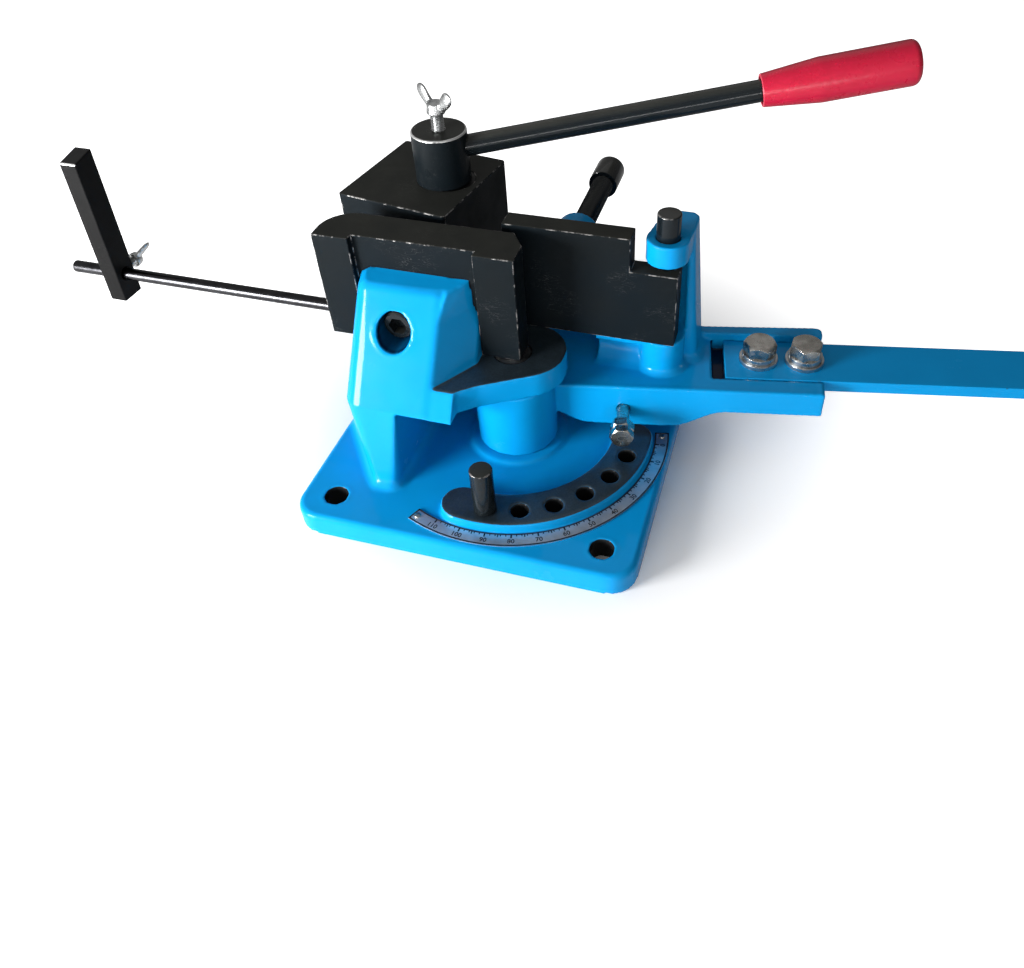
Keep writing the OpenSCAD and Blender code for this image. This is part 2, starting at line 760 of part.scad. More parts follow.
module lever_grip() {
    end_r = 6;
    color(grip_red)
    on_lever() translate([0, 0, lever_len - grip_len])
        rotate_extrude()
            difference() {
                union() {
                    polygon([[0, 0], [grip_d_in / 2 - 0.8, 0], [grip_d_in / 2, 0.8],
                             [grip_d_out / 2 - 0.5, grip_taper], [grip_d_out / 2, grip_len - end_r],
                             [0, grip_len - end_r]]);
                    translate([0, grip_len - end_r - eps]) square([grip_d_out / 2 - end_r, end_r]);
                    intersection() {
                        translate([grip_d_out / 2 - end_r, grip_len - end_r]) circle(end_r);
                        translate([grip_d_out / 2 - end_r - eps, grip_len - end_r - eps]) square(end_r + 1);
                    }
                }
                translate([-1, -1]) square([(lever_d + pin_fit) / 2 + 1, grip_len - 7 + 1]);
                polygon([[0, -1], [grip_d_in / 2 - 1.3, -1], [grip_d_in / 2 - 1.6, 3], [0, 3]]);
            }
}

module stop_rod() {
    color(oxide_black)
    translate([jaw_left_x - rod_len, rod_y, rod_z]) rotate([0, 90, 0]) {
        cylinder(d1 = rod_d - 1.6, d2 = rod_d, h = 0.8);
        translate([0, 0, 0.8]) cylinder(d = rod_d, h = rod_len + rod_seat - 0.8);
    }
}

// Finger's own frame, with the rod's axis through its origin
module on_finger() {
    translate([finger_x, rod_y, rod_z]) rotate([finger_lean, 0, 0]) children();
}

module stop_finger() {
    color(oxide_black)
    on_finger()
    difference() {
        translate([-finger_t / 2, 0, -finger_below]) rotate([90, 0, 90])
            linear_extrude(finger_t)
                polygon([[-finger_w / 2, 0], [finger_w / 2, 0], [finger_w / 2, finger_h],
                         [-finger_w / 2, finger_h - finger_top_rise]]);
        translate([-finger_t, 0, 0]) rotate([0, 90, 0]) cylinder(d = rod_d + pin_fit, h = 2 * finger_t);
        rotate([-90, 0, 0]) cylinder(d = finger_screw_d + pin_fit, h = finger_w);
    }
}

module finger_wing_screw() {
    collar_d = finger_screw_d * 1.7;
    collar_y = finger_w / 2 + 8;
    tip_y = rod_d / 2 + 0.2;
    color(zinc)
    on_finger() rotate([-90, 0, 0]) {
        translate([0, 0, tip_y]) cylinder(d = finger_screw_d, h = collar_y - tip_y + eps);
        translate([0, 0, collar_y]) {
            cylinder(d1 = collar_d, d2 = collar_d * 0.7, h = 6);
            rotate([0, 0, -50]) wings(finger_wing_span, 13, 2.4, collar_d);
        }
    }
}

module angle_stop_pin() {
    color(oxide_black)
    translate([pivot_x, pivot_y, 0]) rotate([0, 0, stop_hole_first]) translate([stop_ring_r, 0, 0]) {
        translate([0, 0, 2]) cylinder(d = stop_hole_d - 0.2, h = pad_z - 1);
        translate([0, 0, pad_z + 0.3]) cylinder(d = stop_pin_d, h = stop_pin_h - 1.3);
        translate([0, 0, pad_z + stop_pin_h - 1]) cylinder(d1 = stop_pin_d, d2 = stop_pin_d - 2, h = 1);
    }
}

// Depth of the belly below the plate, along the arm, from 0 at its ends to 1 in its middle
belly_from = 22;
belly_to = 130;
belly_rise = 32;
function ease(t) = t <= 0 ? 0 : t >= 1 ? 1 : t * t * (3 - 2 * t);
function belly(x) = min(ease((x - belly_from + 8) / belly_rise), ease((belly_to - x) / belly_rise));
belly_steps = 24;

module arm_belly() {
    translate([0, belly_t - arm_front, 0]) rotate([90, 0, 0])
        linear_extrude(belly_t)
            polygon(concat([[belly_to, arm_low_z + 2], [belly_from, arm_low_z + 2]],
                           [for (i = [0 : belly_steps])
                               let (x = belly_from + (belly_to - belly_from) * i / belly_steps)
                                   [x, arm_low_z - belly_h * belly(x)]]));
}

// Plan of the arm's plate: hinge end, broad seat under the former, and tail for the handle
module arm_plan() {
    tail_back = pocket_back + rail_t;
    circle(d = knuckle_d);
    difference() {
        polygon([[0, -arm_front], [arm_len, -arm_front], [arm_len + tail_skew, tail_back + tail_spread],
                 [116, tail_back], [96, tail_back + 6], [60, 92], [20, 92], [0, knuckle_d / 2 - 2]]);
        translate([arm_len + tail_skew - 5, tail_back + tail_spread - 5]) difference() {
            square(6);
            circle(5);
        }
    }
}

// Seat under the former, hollow under its lip, and the brace wall behind the former
module former_seat() {
    left = former_left_x + 55;
    front = former_face_y + 3;
    wall = front + seat_hollow;
    lip_z = seat_low_z - 4.5;
    lip_r = min(4, seat_hollow);
    foot_r = 12;
    translate([left, 0, 0]) rotate([90, 0, 90])
        linear_extrude(former_pin_x + 8 - left) {
            translate([wall, arm_top_z - 1])
                square([brace_y + brace_t / 2 - wall, seat_low_z - arm_top_z + 1]);
            translate([front, lip_z]) square([wall - front + eps, seat_low_z - lip_z]);
            difference() {
                translate([wall - lip_r, lip_z - lip_r]) square(lip_r + eps);
                translate([wall - lip_r, lip_z - lip_r]) circle(lip_r);
            }
            difference() {
                translate([wall - foot_r, arm_top_z - 1]) square([foot_r + eps, foot_r + 1]);
                translate([wall - foot_r, arm_top_z + foot_r]) circle(foot_r);
            }
        }
    translate([adjuster_x - adjuster_boss_d / 2, brace_y, arm_low_z])
        cube([former_pin_x + 8 - adjuster_x + adjuster_boss_d / 2, brace_t, seat_low_z - arm_low_z + 14]);
    translate([adjuster_x, brace_y, adjuster_z]) rotate([-90, 0, 0])
        cylinder(d = adjuster_boss_d, h = brace_t + 6);
    translate([adjuster_x - adjuster_boss_d / 2, brace_y, arm_top_z])
        cube([adjuster_boss_d, brace_t + 3, adjuster_z - arm_top_z]);
}

// Outline of the upright's foot, grown by the given amount
module upright_foot(grow) {
    offset(r = grow + 5) offset(delta = -5)
        translate([former_pin_x - 12, pin_y + 5])
            square([foot_right_x - former_pin_x + 12, upright_back_y + 2 - pin_y - 5]);
}

// Upright with the ring that holds the top of the former's pin
module pin_bracket() {
    back = upright_back_y;
    front = pin_y + 9;
    rings = [[6, 0], [2.4, 1.4], [0, 4], [-1, 7]];
    translate([former_pin_x, pin_y, arm_top_z - 1]) cylinder(d = seat_boss_d, h = seat_low_z - arm_top_z + 1);
    translate([former_pin_x, pin_y, arm_top_z - eps]) boss_fillet(seat_boss_d / 2 - 0.2, 5);
    for (i = [0 : 2]) hull() for (ring = [rings[i], rings[i + 1]])
        translate([0, 0, arm_top_z - 0.5 + ring[1]]) linear_extrude(eps) upright_foot(ring[0]);
    translate([0, 0, ring_low_z]) linear_extrude(ring_top_z - ring_low_z) {
        translate([former_pin_x, pin_y]) circle(d = ring_d);
        polygon([[former_pin_x - ring_d / 2 + 0.2, pin_y], [former_pin_x + ring_d / 2 - 0.2, pin_y],
                 [upright_right_x, front + 6], [upright_right_x, back - 5], [upright_right_x - 5, back],
                 [former_pin_x - 4, back], [former_pin_x - 10, front + 6]]);
    }
    hull() {
        translate([former_pin_x - 8, front, ring_top_z - 2])
            cube([upright_right_x - 4 - former_pin_x + 8, back - front - 4, 2]);
        translate([upright_right_x - 4, front + 4, ring_top_z - 2]) cylinder(r = 4, h = 2, $fn = 32);
        translate([upright_right_x - 6, back - 6, ring_top_z - 2]) cylinder(r = 6, h = 2, $fn = 32);
        translate([0, 0, arm_top_z]) linear_extrude(2) upright_foot(0);
    }
}

module swing_arm() {
    color(paint_blue)
    difference() {
        union() {
            on_arm() {
                translate([0, 0, knuckle_low_z]) cylinder(d = knuckle_d, h = knuckle_top_z - knuckle_low_z);
                translate([0, 0, arm_low_z]) linear_extrude(arm_t) arm_plan();
                arm_belly();
                translate([0, 0, arm_top_z - 1]) linear_extrude(rail_h + 1) intersection() {
                    arm_plan();
                    translate([112, pocket_back]) square([arm_len, 2 * rail_t]);
                }
            }
            former_seat();
            pin_bracket();
        }
        on_arm() {
            translate([0, 0, knuckle_low_z - 1]) cylinder(d = pivot_d + pin_fit, h = table_z);
            translate([bar_from - bar_end_gap, pocket_front, pocket_z])
                cube([arm_len, pocket_back - pocket_front, arm_t]);
            for (x = handle_bolt_places)
                translate([x, bar_mid, arm_low_z - 1]) cylinder(d = handle_bolt_d + pin_fit, h = arm_t);
            translate([stop_bolt_at, -arm_front - 1, stop_bolt_z]) rotate([-90, 0, 0])
                cylinder(d = stop_bolt_d + pin_fit, h = belly_t + 8);
        }
        translate([former_pin_x, pin_y, pin_floor_z]) cylinder(d = former_pin_d + pin_fit, h = jaw_top_z);
        translate([former_pin_x, pin_y, seat_low_z]) cylinder(d = ring_d + 3, h = ring_low_z - seat_low_z);
        translate([adjuster_x, former_back_y, adjuster_z]) rotate([-90, 0, 0])
            cylinder(d = adjuster_d + pin_fit, h = 90);
    }
}

module handle_bar() {
    color(paint_blue)
    on_arm()
    difference() {
        translate([bar_from, bar_front, pocket_z + 0.05]) linear_extrude(bar_t) {
            square([bar_len - bar_w / 2, bar_w]);
            translate([bar_len - bar_w / 2, bar_w / 2]) circle(d = bar_w);
        }
        for (x = handle_bolt_places)
            translate([x, bar_mid, arm_low_z]) cylinder(d = handle_bolt_d + 1, h = arm_t + bar_t);
    }
}

module handle_washers() {
    color(zinc)
    on_arm()
    for (x = handle_bolt_places)
        translate([x, bar_mid, pocket_z + bar_t + 0.05]) {
            difference() {
                cylinder(d = 2 * handle_bolt_d, h = washer_t);
                translate([0, 0, -1]) cylinder(d = handle_bolt_d + 1, h = washer_t + 2);
            }
            translate([0, 0, washer_t + 0.05]) difference() {
                cylinder(d = 1.75 * handle_bolt_d, h = spring_washer_t);
                translate([0, 0, -1]) cylinder(d = handle_bolt_d + 0.4, h = spring_washer_t + 2);
                rotate([0, 0, 205]) translate([0, -0.6, -1]) rotate([15, 0, 0])
                    cube([handle_bolt_d, 1.2, spring_washer_t + 3]);
            }
        }
}

module handle_bolts() {
    bolt_z = pocket_z + bar_t + washer_t + spring_washer_t + 0.15;
    turns = [-10, 14];
    color(zinc)
    on_arm()
    for (i = [0, 1])
        translate([handle_bolt_places[i], bar_mid, 0]) {
            translate([0, 0, arm_low_z + 1]) cylinder(d = handle_bolt_d, h = bolt_z - arm_low_z - 1 + eps);
            translate([0, 0, bolt_z]) rotate([0, 0, turns[i]]) hex_head(handle_bolt_d * 1.5, bolt_head_h);
        }
}

module bend_former() {
    color(oxide_black)
    difference() {
        union() {
            translate([former_left_x, former_face_y, former_low_z])
                cube([former_right_x - former_left_x, former_t, tongue_h]);
            translate([former_left_x, former_face_y, former_low_z])
                cube([former_right_x - tongue_len - former_left_x, former_t, former_top_z - former_low_z]);
            translate([former_pin_x, pin_y, former_low_z])
                cylinder(d = max(former_pin_d + 4, 2 * (former_right_x - former_pin_x)), h = tongue_h);
        }
        translate([former_pin_x, pin_y, former_low_z - 1])
            cylinder(d = former_pin_d + pin_fit, h = jaw_h);
    }
}

module former_pin() {
    pin_top_z = ring_top_z + former_pin_stand;
    color(oxide_black)
    translate([former_pin_x, pin_y, pin_floor_z + 0.2]) {
        cylinder(d = former_pin_d, h = pin_top_z - 1 - pin_floor_z - 0.2);
        translate([0, 0, pin_top_z - 1 - pin_floor_z - 0.2])
            cylinder(d1 = former_pin_d, d2 = former_pin_d - 2, h = 1);
    }
}

module adjusting_screw() {
    color(oxide_black)
    translate([adjuster_x, adjuster_tip_y, adjuster_z]) rotate([-90, 0, 0]) {
        cylinder(d1 = adjuster_d - 4, d2 = adjuster_d, h = 2);
        translate([0, 0, 2]) cylinder(d = adjuster_d, h = adjuster_len - 2 + eps);
        translate([0, 0, adjuster_len]) socket_head(adjuster_head_d, adjuster_head_h, adjuster_d * 0.75);
    }
}

module arm_stop_bolt() {
    shank_in = belly_t - 3;
    color(zinc)
    on_arm()
    translate([stop_bolt_at, -arm_front - stop_bolt_reach + stop_head_h, stop_bolt_z])
        rotate([90, 0, 0]) {
            hex_head(stop_bolt_d * 1.625, stop_head_h);
            rotate([180, 0, 0]) cylinder(d = stop_bolt_d, h = stop_bolt_reach - stop_head_h + shank_in);
        }
}

module stop_lock_nut() {
    color(zinc)
    on_arm()
    translate([stop_bolt_at, -arm_front - stop_bolt_reach + stop_head_h + stop_nut_h + 0.3, stop_bolt_z])
        rotate([90, 0, 0]) rotate([0, 0, 9])
        difference() {
            hex_head(stop_bolt_d * 1.625, stop_nut_h);
            translate([0, 0, -1]) cylinder(d = stop_bolt_d + pin_fit, h = stop_nut_h + 2);
        }
}

base_casting();
angle_scale();
scale_rivets();
pivot_pin();
fixed_jaw();
jaw_screw();
clamp_block();
cam_shaft();
lever_hub();
hub_wing_bolt();
clamp_lever();
lever_grip();
stop_rod();
stop_finger();
finger_wing_screw();
angle_stop_pin();
swing_arm();
handle_bar();
handle_washers();
handle_bolts();
bend_former();
former_pin();
adjusting_screw();
arm_stop_bolt();
stop_lock_nut();
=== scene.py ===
"""Looks of a bench bar bender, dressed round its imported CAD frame.

Lengths are in millimetres until a mesh is made, and every piece stands in the CAD's own frame.
"""
import logging
import math
from dataclasses import dataclass
from enum import Enum
from typing import Any, Callable, Optional, Sequence, Union

import bmesh
import bpy
import numpy as np
from mathutils import Matrix, Vector


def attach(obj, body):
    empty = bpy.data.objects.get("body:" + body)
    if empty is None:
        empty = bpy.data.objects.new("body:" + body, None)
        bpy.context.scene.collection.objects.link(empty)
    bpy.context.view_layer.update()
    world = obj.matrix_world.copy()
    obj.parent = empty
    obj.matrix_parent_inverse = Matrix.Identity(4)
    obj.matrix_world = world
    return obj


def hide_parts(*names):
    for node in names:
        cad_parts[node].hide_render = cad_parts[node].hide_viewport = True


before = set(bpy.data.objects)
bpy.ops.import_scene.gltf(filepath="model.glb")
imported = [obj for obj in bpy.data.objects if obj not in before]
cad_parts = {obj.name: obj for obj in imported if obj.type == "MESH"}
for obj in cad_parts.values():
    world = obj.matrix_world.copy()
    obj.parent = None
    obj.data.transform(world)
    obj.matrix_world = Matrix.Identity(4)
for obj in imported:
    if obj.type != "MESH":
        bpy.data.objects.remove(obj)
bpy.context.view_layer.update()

LOG = logging.getLogger("bar_bender")
MM = 0.001
TURN = 2 * math.pi
WELD = 1e-6
FLAT_LIMIT = math.radians(0.8)
BEVEL_LIMIT = math.radians(32)
SHARP_LIMIT = math.radians(50)
EDGE = "edge"
BROAD = 4.0
CAST_KEPT = 0.5
WING_VOXEL = 0.38
Colour = tuple[float, float, float]
Span = tuple[float, float]
Place = tuple[float, float, float]
Mesh = bpy.types.Mesh
Node = bpy.types.Node
Socket = bpy.types.NodeSocket


class Body(Enum):
    """Moving bodies of the frame."""
    FRAME = "frame"
    CAM_LEVER = "cam_lever"
    BLOCK = "block"
    HUB_BOLT = "hub_bolt"
    ROD = "length_rod"
    FINGER = "length_finger"
    FINGER_SCREW = "finger_screw"
    ANGLE_PIN = "angle_pin"
    ARM = "arm"
    FORMER = "former"
    HINGE_PIN = "hinge_pin"
    ADJUSTER = "adjuster"
    STOP_BOLT = "stop_bolt"
    LOCK_NUT = "lock_nut"


class Slot(Enum):
    """Material slots of the record."""
    PAINT = "blue_paint"
    BLACK = "black_steel"
    BRIGHT = "bright_steel"
    ZINC = "zinc_plate"
    SCALE = "scale_plate"
    GRIP = "red_grip"


# Surfaces

@dataclass
class Shell:
    """A surface in millimetres.

    points are its corners, faces its blocks of faces with equally many sides, and edge says for
    each point how far it lies on a rounded edge, from 0 to 1.
    """
    points: np.ndarray
    faces: list[np.ndarray]
    edge: np.ndarray

    @staticmethod
    def of(points: np.ndarray, faces: np.ndarray, edge: Optional[np.ndarray] = None) -> "Shell":
        """Makes a shell from one block of faces.

        Args:
            points: corners, one row each.
            faces: indices of the faces' corners, one row each.
            edge: share of rounded edge at each point, or none for sharp edges.
        Returns:
            The shell.
        """
        return Shell(points, [faces], np.zeros(len(points)) if edge is None else edge)

    def placed(self, *moves: Matrix) -> "Shell":
        """Returns the shell after the given moves, the last of which is done first."""
        return Shell(moved(self.points, combined(*moves)), self.faces, self.edge)


def joined(*shells: Shell) -> Shell:
    """Puts several shells into one, with the indices of their faces moved on.

    Args:
        shells: the shells to join.
    Returns:
        One shell.
    """
    starts = np.cumsum([0] + [len(s.points) for s in shells[:-1]])
    faces = [block + start for shell, start in zip(shells, starts) for block in shell.faces]
    return Shell(np.concatenate([s.points for s in shells]), faces, np.concatenate([s.edge for s in shells]))


def combined(*moves: Matrix) -> Matrix:
    """Returns the product of the given 4 by 4 matrices."""
    whole = Matrix.Identity(4)
    for move in moves:
        whole = whole @ move
    return whole


def moved(points: np.ndarray, move: Matrix) -> np.ndarray:
    """Returns points after a move."""
    whole = np.array(move)
    return points @ whole[:3, :3].T + whole[:3, 3]


def shift(x: float, y: float, z: float) -> Matrix:
    """Returns a move by the given millimetres."""
    return Matrix.Translation((x, y, z))


def turn(axis: str, degrees: float) -> Matrix:
    """Returns a turn about X, Y or Z."""
    return Matrix.Rotation(math.radians(degrees), 4, axis)


def grid_faces(rows: int, cols: int, wrap: bool) -> np.ndarray:
    """Quads between neighbouring rows and columns of a grid of points.

    Args:
        rows: number of rows.
        cols: number of columns.
        wrap: whether the last column joins the first.
    Returns:
        Indices, four to a row.
    """
    index = np.arange(rows * cols).reshape(rows, cols)
    left = index if wrap else index[:, :-1]
    right = np.roll(index, -1, axis=1) if wrap else index[:, 1:]
    return np.stack([left[:-1], right[:-1], right[1:], left[1:]], axis=-1).reshape(-1, 4)


def rounded_profile(corners: Sequence[Place], steps: int) -> tuple[np.ndarray, np.ndarray]:
    """Polyline whose corners are replaced by arcs that touch both sides.

    An arc of radius r at a corner of half angle h starts r / tan(h) before it, and its points are the
    centre plus r times the unit vector that turns from one side's normal to the other's.

    Args:
        corners: radius from the axis, height, and arc radius of each corner, with 0 for a sharp one.
        steps: number of spans in an arc.
    Returns:
        The points, and for each the share of rounded edge, which broad arcs don't count as.
    """
    pts: list[np.ndarray] = []
    marks: list[float] = []
    flat = [np.array(c[:2], float) for c in corners]
    for i, (_, _, r) in enumerate(corners):
        here = flat[i]
        if r <= 0 or i == 0 or i == len(corners) - 1:
            pts.append(here)
            marks.append(0.0)
            continue
        back = (flat[i - 1] - here) / np.linalg.norm(flat[i - 1] - here)
        ahead = (flat[i + 1] - here) / np.linalg.norm(flat[i + 1] - here)
        half = math.acos(float(np.clip(back @ ahead, -1, 1))) / 2
        middle = here + (back + ahead) / np.linalg.norm(back + ahead) * r / math.sin(half)
        start = here + back * r / math.tan(half) - middle
        stop = here + ahead * r / math.tan(half) - middle
        whole = math.acos(float(np.clip(start @ stop / r / r, -1, 1)))
        share = np.linspace(0, 1, steps + 1)
        arc = (np.sin((1 - share) * whole)[:, None] * start + np.sin(share * whole)[:, None] * stop)
        pts.extend(middle + arc / math.sin(whole))
        marks.extend([0.0] + [float(r < BROAD)] * (steps - 1) + [0.0])
    return np.array(pts), np.array(marks)


def lathe(corners: Sequence[Place], segments: int = 64, steps: int = 5) -> Shell:
    """Surface of revolution about Z: a rounded profile turned through a full circle.

    Args:
        corners: radius, height and arc radius of the profile's corners, from one pole to the other.
        segments: number of steps round the axis.
        steps: number of spans in each rounded corner.
    Returns:
        The closed shell.
    """
    profile, marks = rounded_profile(corners, steps)
    angle = np.arange(segments) / segments * TURN
    ring = np.stack([np.cos(angle), np.sin(angle)], axis=-1)
    flat = profile[:, None, :1] * ring[None]
    height = np.broadcast_to(profile[:, None, 1:], flat.shape[:2] + (1,))
    points = np.concatenate([flat, height], axis=-1).reshape(-1, 3)
    return Shell.of(points, grid_faces(len(profile), segments, True), np.repeat(marks, segments))


def round_bar(radius: float, span: Span, edges: Span, segments: int) -> Shell:
    """Plain cylinder about Z with rounded ends.

    Args:
        radius: its radius.
        span: lower and upper height.
        edges: arc radius at its lower and upper edge.
        segments: number of steps round the axis.
    Returns:
        The closed shell.
    """
    low, high = span
    return lathe([(0, low, 0), (radius, low, edges[0]), (radius, high, edges[1]), (0, high, 0)], segments)


def threaded_rod(radius: float, pitch: float, length: float, depth: float, around: int = 36) -> Shell:
    """Screw thread from z 0 to length, closed at both ends.

    The radius at height z and angle a falls from the crest by depth times a rounded triangle wave of
    z / pitch - a / turn, and the first and last turns taper to the root.

    Args:
        radius: crest radius.
        pitch: height of one turn.
        length: length along Z.
        depth: depth of the thread.
        around: number of steps round the axis.
    Returns:
        The closed shell.
    """
    rows = max(8, int(length / pitch * 9))
    z = np.linspace(0, length, rows)[:, None]
    angle = (np.arange(around) / around * TURN)[None]
    phase = (z / pitch - angle / TURN) % 1.0
    wave = np.clip(np.abs(phase * 2 - 1) * 1.25 - 0.12, 0, 1)
    ends = np.clip(np.minimum(z, length - z) / pitch, 0, 1)
    r = radius - depth + depth * np.minimum(wave, ends)
    body = np.stack([r * np.cos(angle), r * np.sin(angle), np.broadcast_to(z, r.shape)], axis=-1)
    low = np.zeros((1, around, 3))
    points = np.concatenate([low, body, low + (0, 0, length)]).reshape(-1, 3)
    return Shell.of(points, grid_faces(rows + 2, around, True))


def wing(root: Span, tip: Span, width: Span, thick: Span, rows: int = 26, around: int = 20) -> Shell:
    """One wing of a wing screw: an oval carried along a bent path in the XZ plane.

    The path is a quadratic curve from root to tip that first leaves sideways, and the oval's half axes
    go from the first to the second value, then close to the tip as a quarter ellipse does.

    Args:
        root: x and z where the wing starts.
        tip: x and z where it ends.
        width: half width of the oval in the plane at both ends.
        thick: half thickness of the oval across the plane at both ends.
        rows: number of ovals.
        around: number of points on an oval.
    Returns:
        The closed shell.
    """
    s = np.linspace(0, 1, rows)[:, None]
    start, end = np.array(root), np.array(tip)
    bend = np.array([end[0] * 0.72, start[1] * 0.55 + end[1] * 0.45])
    path = (1 - s) ** 2 * start + 2 * s * (1 - s) * bend + s ** 2 * end
    along = 2 * (1 - s) * (bend - start) + 2 * s * (end - bend)
    along /= np.linalg.norm(along, axis=1, keepdims=True)
    side = np.stack([-along[:, 1], along[:, 0]], axis=-1)
    close = np.sqrt(np.clip(1 - (np.clip(s - 0.62, 0, 1) / 0.38) ** 2, 0, 1))
    half_w = (width[0] + (width[1] - width[0]) * s) * close
    half_t = (thick[0] + (thick[1] - thick[0]) * s) * close
    angle = (np.arange(around) / around * TURN)[None]
    in_plane = half_w * np.cos(angle)
    x = path[:, :1] + side[:, :1] * in_plane
    z = path[:, 1:] + side[:, 1:] * in_plane
    points = np.stack([x, half_t * np.sin(angle), z], axis=-1)
    cap = np.broadcast_to(np.array([start[0], 0, start[1]]), (1, around, 3))
    points = np.concatenate([cap, points]).reshape(-1, 3)
    return Shell.of(points, grid_faces(rows + 1, around, True))


def wing_head(collar_r: float, span: float, height: float, collar_h: float) -> Shell:
    """Collar and two wings of a wing screw, standing on the origin.

    Args:
        collar_r: radius of the collar's foot.
        span: distance between the wings' tips.
        height: height of the tips.
        collar_h: height of the collar.
    Returns:
        Overlapping closed shells.
    """
    collar = lathe([(0, 0, 0), (collar_r, 0, 0.8), (collar_r * 0.84, collar_h, 1.6), (0, collar_h, 0)], 40)
    left = wing((collar_r * 0.35, 2.6), (span / 2 - 0.4, height - 0.3), (3.0, 4.8), (1.9, 1.45))
    return joined(collar, left, left.placed(turn("Z", 180)))


def arc_bars(radii: Span, heights: Span, starts: np.ndarray, ends: np.ndarray, steps: int) -> Shell:
    """Flat bars bent round the Z axis, one for each pair of angles: a rectangle carried along an arc.

    Args:
        radii: inner and outer radius.
        heights: lower and upper height.
        starts: first angles, in degrees.
        ends: last angles, in degrees.
        steps: number of spans along each bar.
    Returns:
        One shell with all bars.
    """
    share = np.linspace(0, 1, steps + 1)[None]
    angle = np.radians(starts[:, None] + (ends - starts)[:, None] * share)
    r = np.array([radii[0], radii[1], radii[1], radii[0]])
    z = np.array([heights[0], heights[0], heights[1], heights[1]])
    x = np.cos(angle)[..., None] * r
    y = np.sin(angle)[..., None] * r
    points = np.stack([x, y, np.broadcast_to(z, x.shape)], axis=-1)
    caps = np.array([[3, 2, 1, 0], [0, 1, 2, 3]]) + np.array([[0], [steps * 4]])
    one = np.concatenate([grid_faces(steps + 1, 4, True), caps])
    offsets = np.arange(len(starts)) * (steps + 1) * 4
    return Shell.of(points.reshape(-1, 3), (one[None] + offsets[:, None, None]).reshape(-1, 4))


def figures(text: str, height: float, thick: float) -> Shell:
    """Flat figures in the XY plane, centred on the origin, as a shell of triangles.

    Args:
        text: digits to draw.
        height: height of a digit.
        thick: thickness along Z.
    Returns:
        The shell.
    """
    curve = bpy.data.curves.new("figure", "FONT")
    curve.body = text
    curve.align_x = "CENTER"
    curve.align_y = "CENTER"
    curve.size = height * 1.4
    curve.extrude = thick / 2
    curve.offset = height * 0.028
    curve.resolution_u = 3
    holder = linked("figure", curve)
    mesh = evaluated(holder)
    points = read(mesh.vertices, "co", 3)
    mesh.calc_loop_triangles()
    tris = read(mesh.loop_triangles, "vertices", 3, np.int32)
    bpy.data.meshes.remove(mesh)
    bpy.data.objects.remove(holder)
    bpy.data.curves.remove(curve)
    return Shell.of(points, tris)


# Meshes

def linked(name: str, data: bpy.types.ID) -> bpy.types.Object:
    """Returns a new object in the scene that holds the given data."""
    holder = bpy.data.objects.new(name, data)
    bpy.context.scene.collection.objects.link(holder)
    return holder


def read(group: Any, name: str, width: int, kind: type = np.float32) -> np.ndarray:
    """Reads one property of a mesh collection as an array.

    Args:
        group: the collection, such as mesh.vertices.
        name: the property.
        width: numbers per item.
        kind: number type.
    Returns:
        The array, one row per item.
    """
    flat = np.zeros(len(group) * width, kind)
    group.foreach_get(name, flat)
    return flat.reshape(-1, width)


def places(group: Any, name: str = "co") -> np.ndarray:
    """Returns the places of a mesh's points, or of its faces' middles, in millimetres."""
    return read(group, name, 3) / MM


def place_points(mesh: Mesh, points: np.ndarray) -> None:
    """Gives a mesh new places for its points, in metres."""
    mesh.vertices.foreach_set("co", points.astype(np.float32).ravel())
    mesh.update()


def mark_edges(mesh: Mesh, shares: np.ndarray, domain: str = "POINT") -> None:
    """Writes the share of rounded edge at each point or face of a mesh."""
    marks = mesh.attributes.get(EDGE) or mesh.attributes.new(EDGE, "FLOAT", domain)
    marks.data.foreach_set("value", shares.astype(np.float32))


def evaluated(holder: bpy.types.Object) -> Mesh:
    """Returns a new mesh of an object with its modifiers done."""
    graph = bpy.context.evaluated_depsgraph_get()
    return bpy.data.meshes.new_from_object(holder.evaluated_get(graph))


def with_modifier(mesh: Mesh, kind: str, **settings: Any) -> Mesh:
    """Runs one modifier on a mesh and drops the old mesh.

    Args:
        mesh: the mesh to work on.
        kind: type of the modifier.
        settings: its values.
    Returns:
        The new mesh.
    """
    holder = linked("holder", mesh)
    modifier = holder.modifiers.new(kind.lower(), kind)
    for name, value in settings.items():
        setattr(modifier, name, value)
    made = evaluated(holder)
    bpy.data.objects.remove(holder)
    bpy.data.meshes.remove(mesh)
    return made


def welded(mesh: Mesh, flatten: bool = False, outward: bool = False) -> Mesh:
    """Merges doubled points of a mesh.

    Args:
        mesh: the mesh, which is changed.
        flatten: whether faces in one plane become one face.
        outward: whether the faces are turned outwards.
    Returns:
        The same mesh.
    """
    work = bmesh.new()
    work.from_mesh(mesh)
    bmesh.ops.remove_doubles(work, verts=work.verts[:], dist=WELD)
    if flatten:
        bmesh.ops.dissolve_limit(work, angle_limit=FLAT_LIMIT, verts=work.verts[:], edges=work.edges[:])
    if outward:
        bmesh.ops.recalc_face_normals(work, faces=work.faces[:])
    work.to_mesh(mesh)
    work.free()
    return mesh


def shell_mesh(name: str, shell: Shell) -> Mesh:
    """Turns a shell in millimetres into a mesh in metres.

    Args:
        name: name of the mesh.
        shell: the surface.
    Returns:
        The mesh, with the shell's edge marks as an attribute.
    """
    mesh = bpy.data.meshes.new(name)
    faces = [face for block in shell.faces for face in block.tolist()]
    mesh.from_pydata((shell.points * MM).tolist(), [], faces)
    mark_edges(mesh, shell.edge)
    return welded(mesh, outward=True)


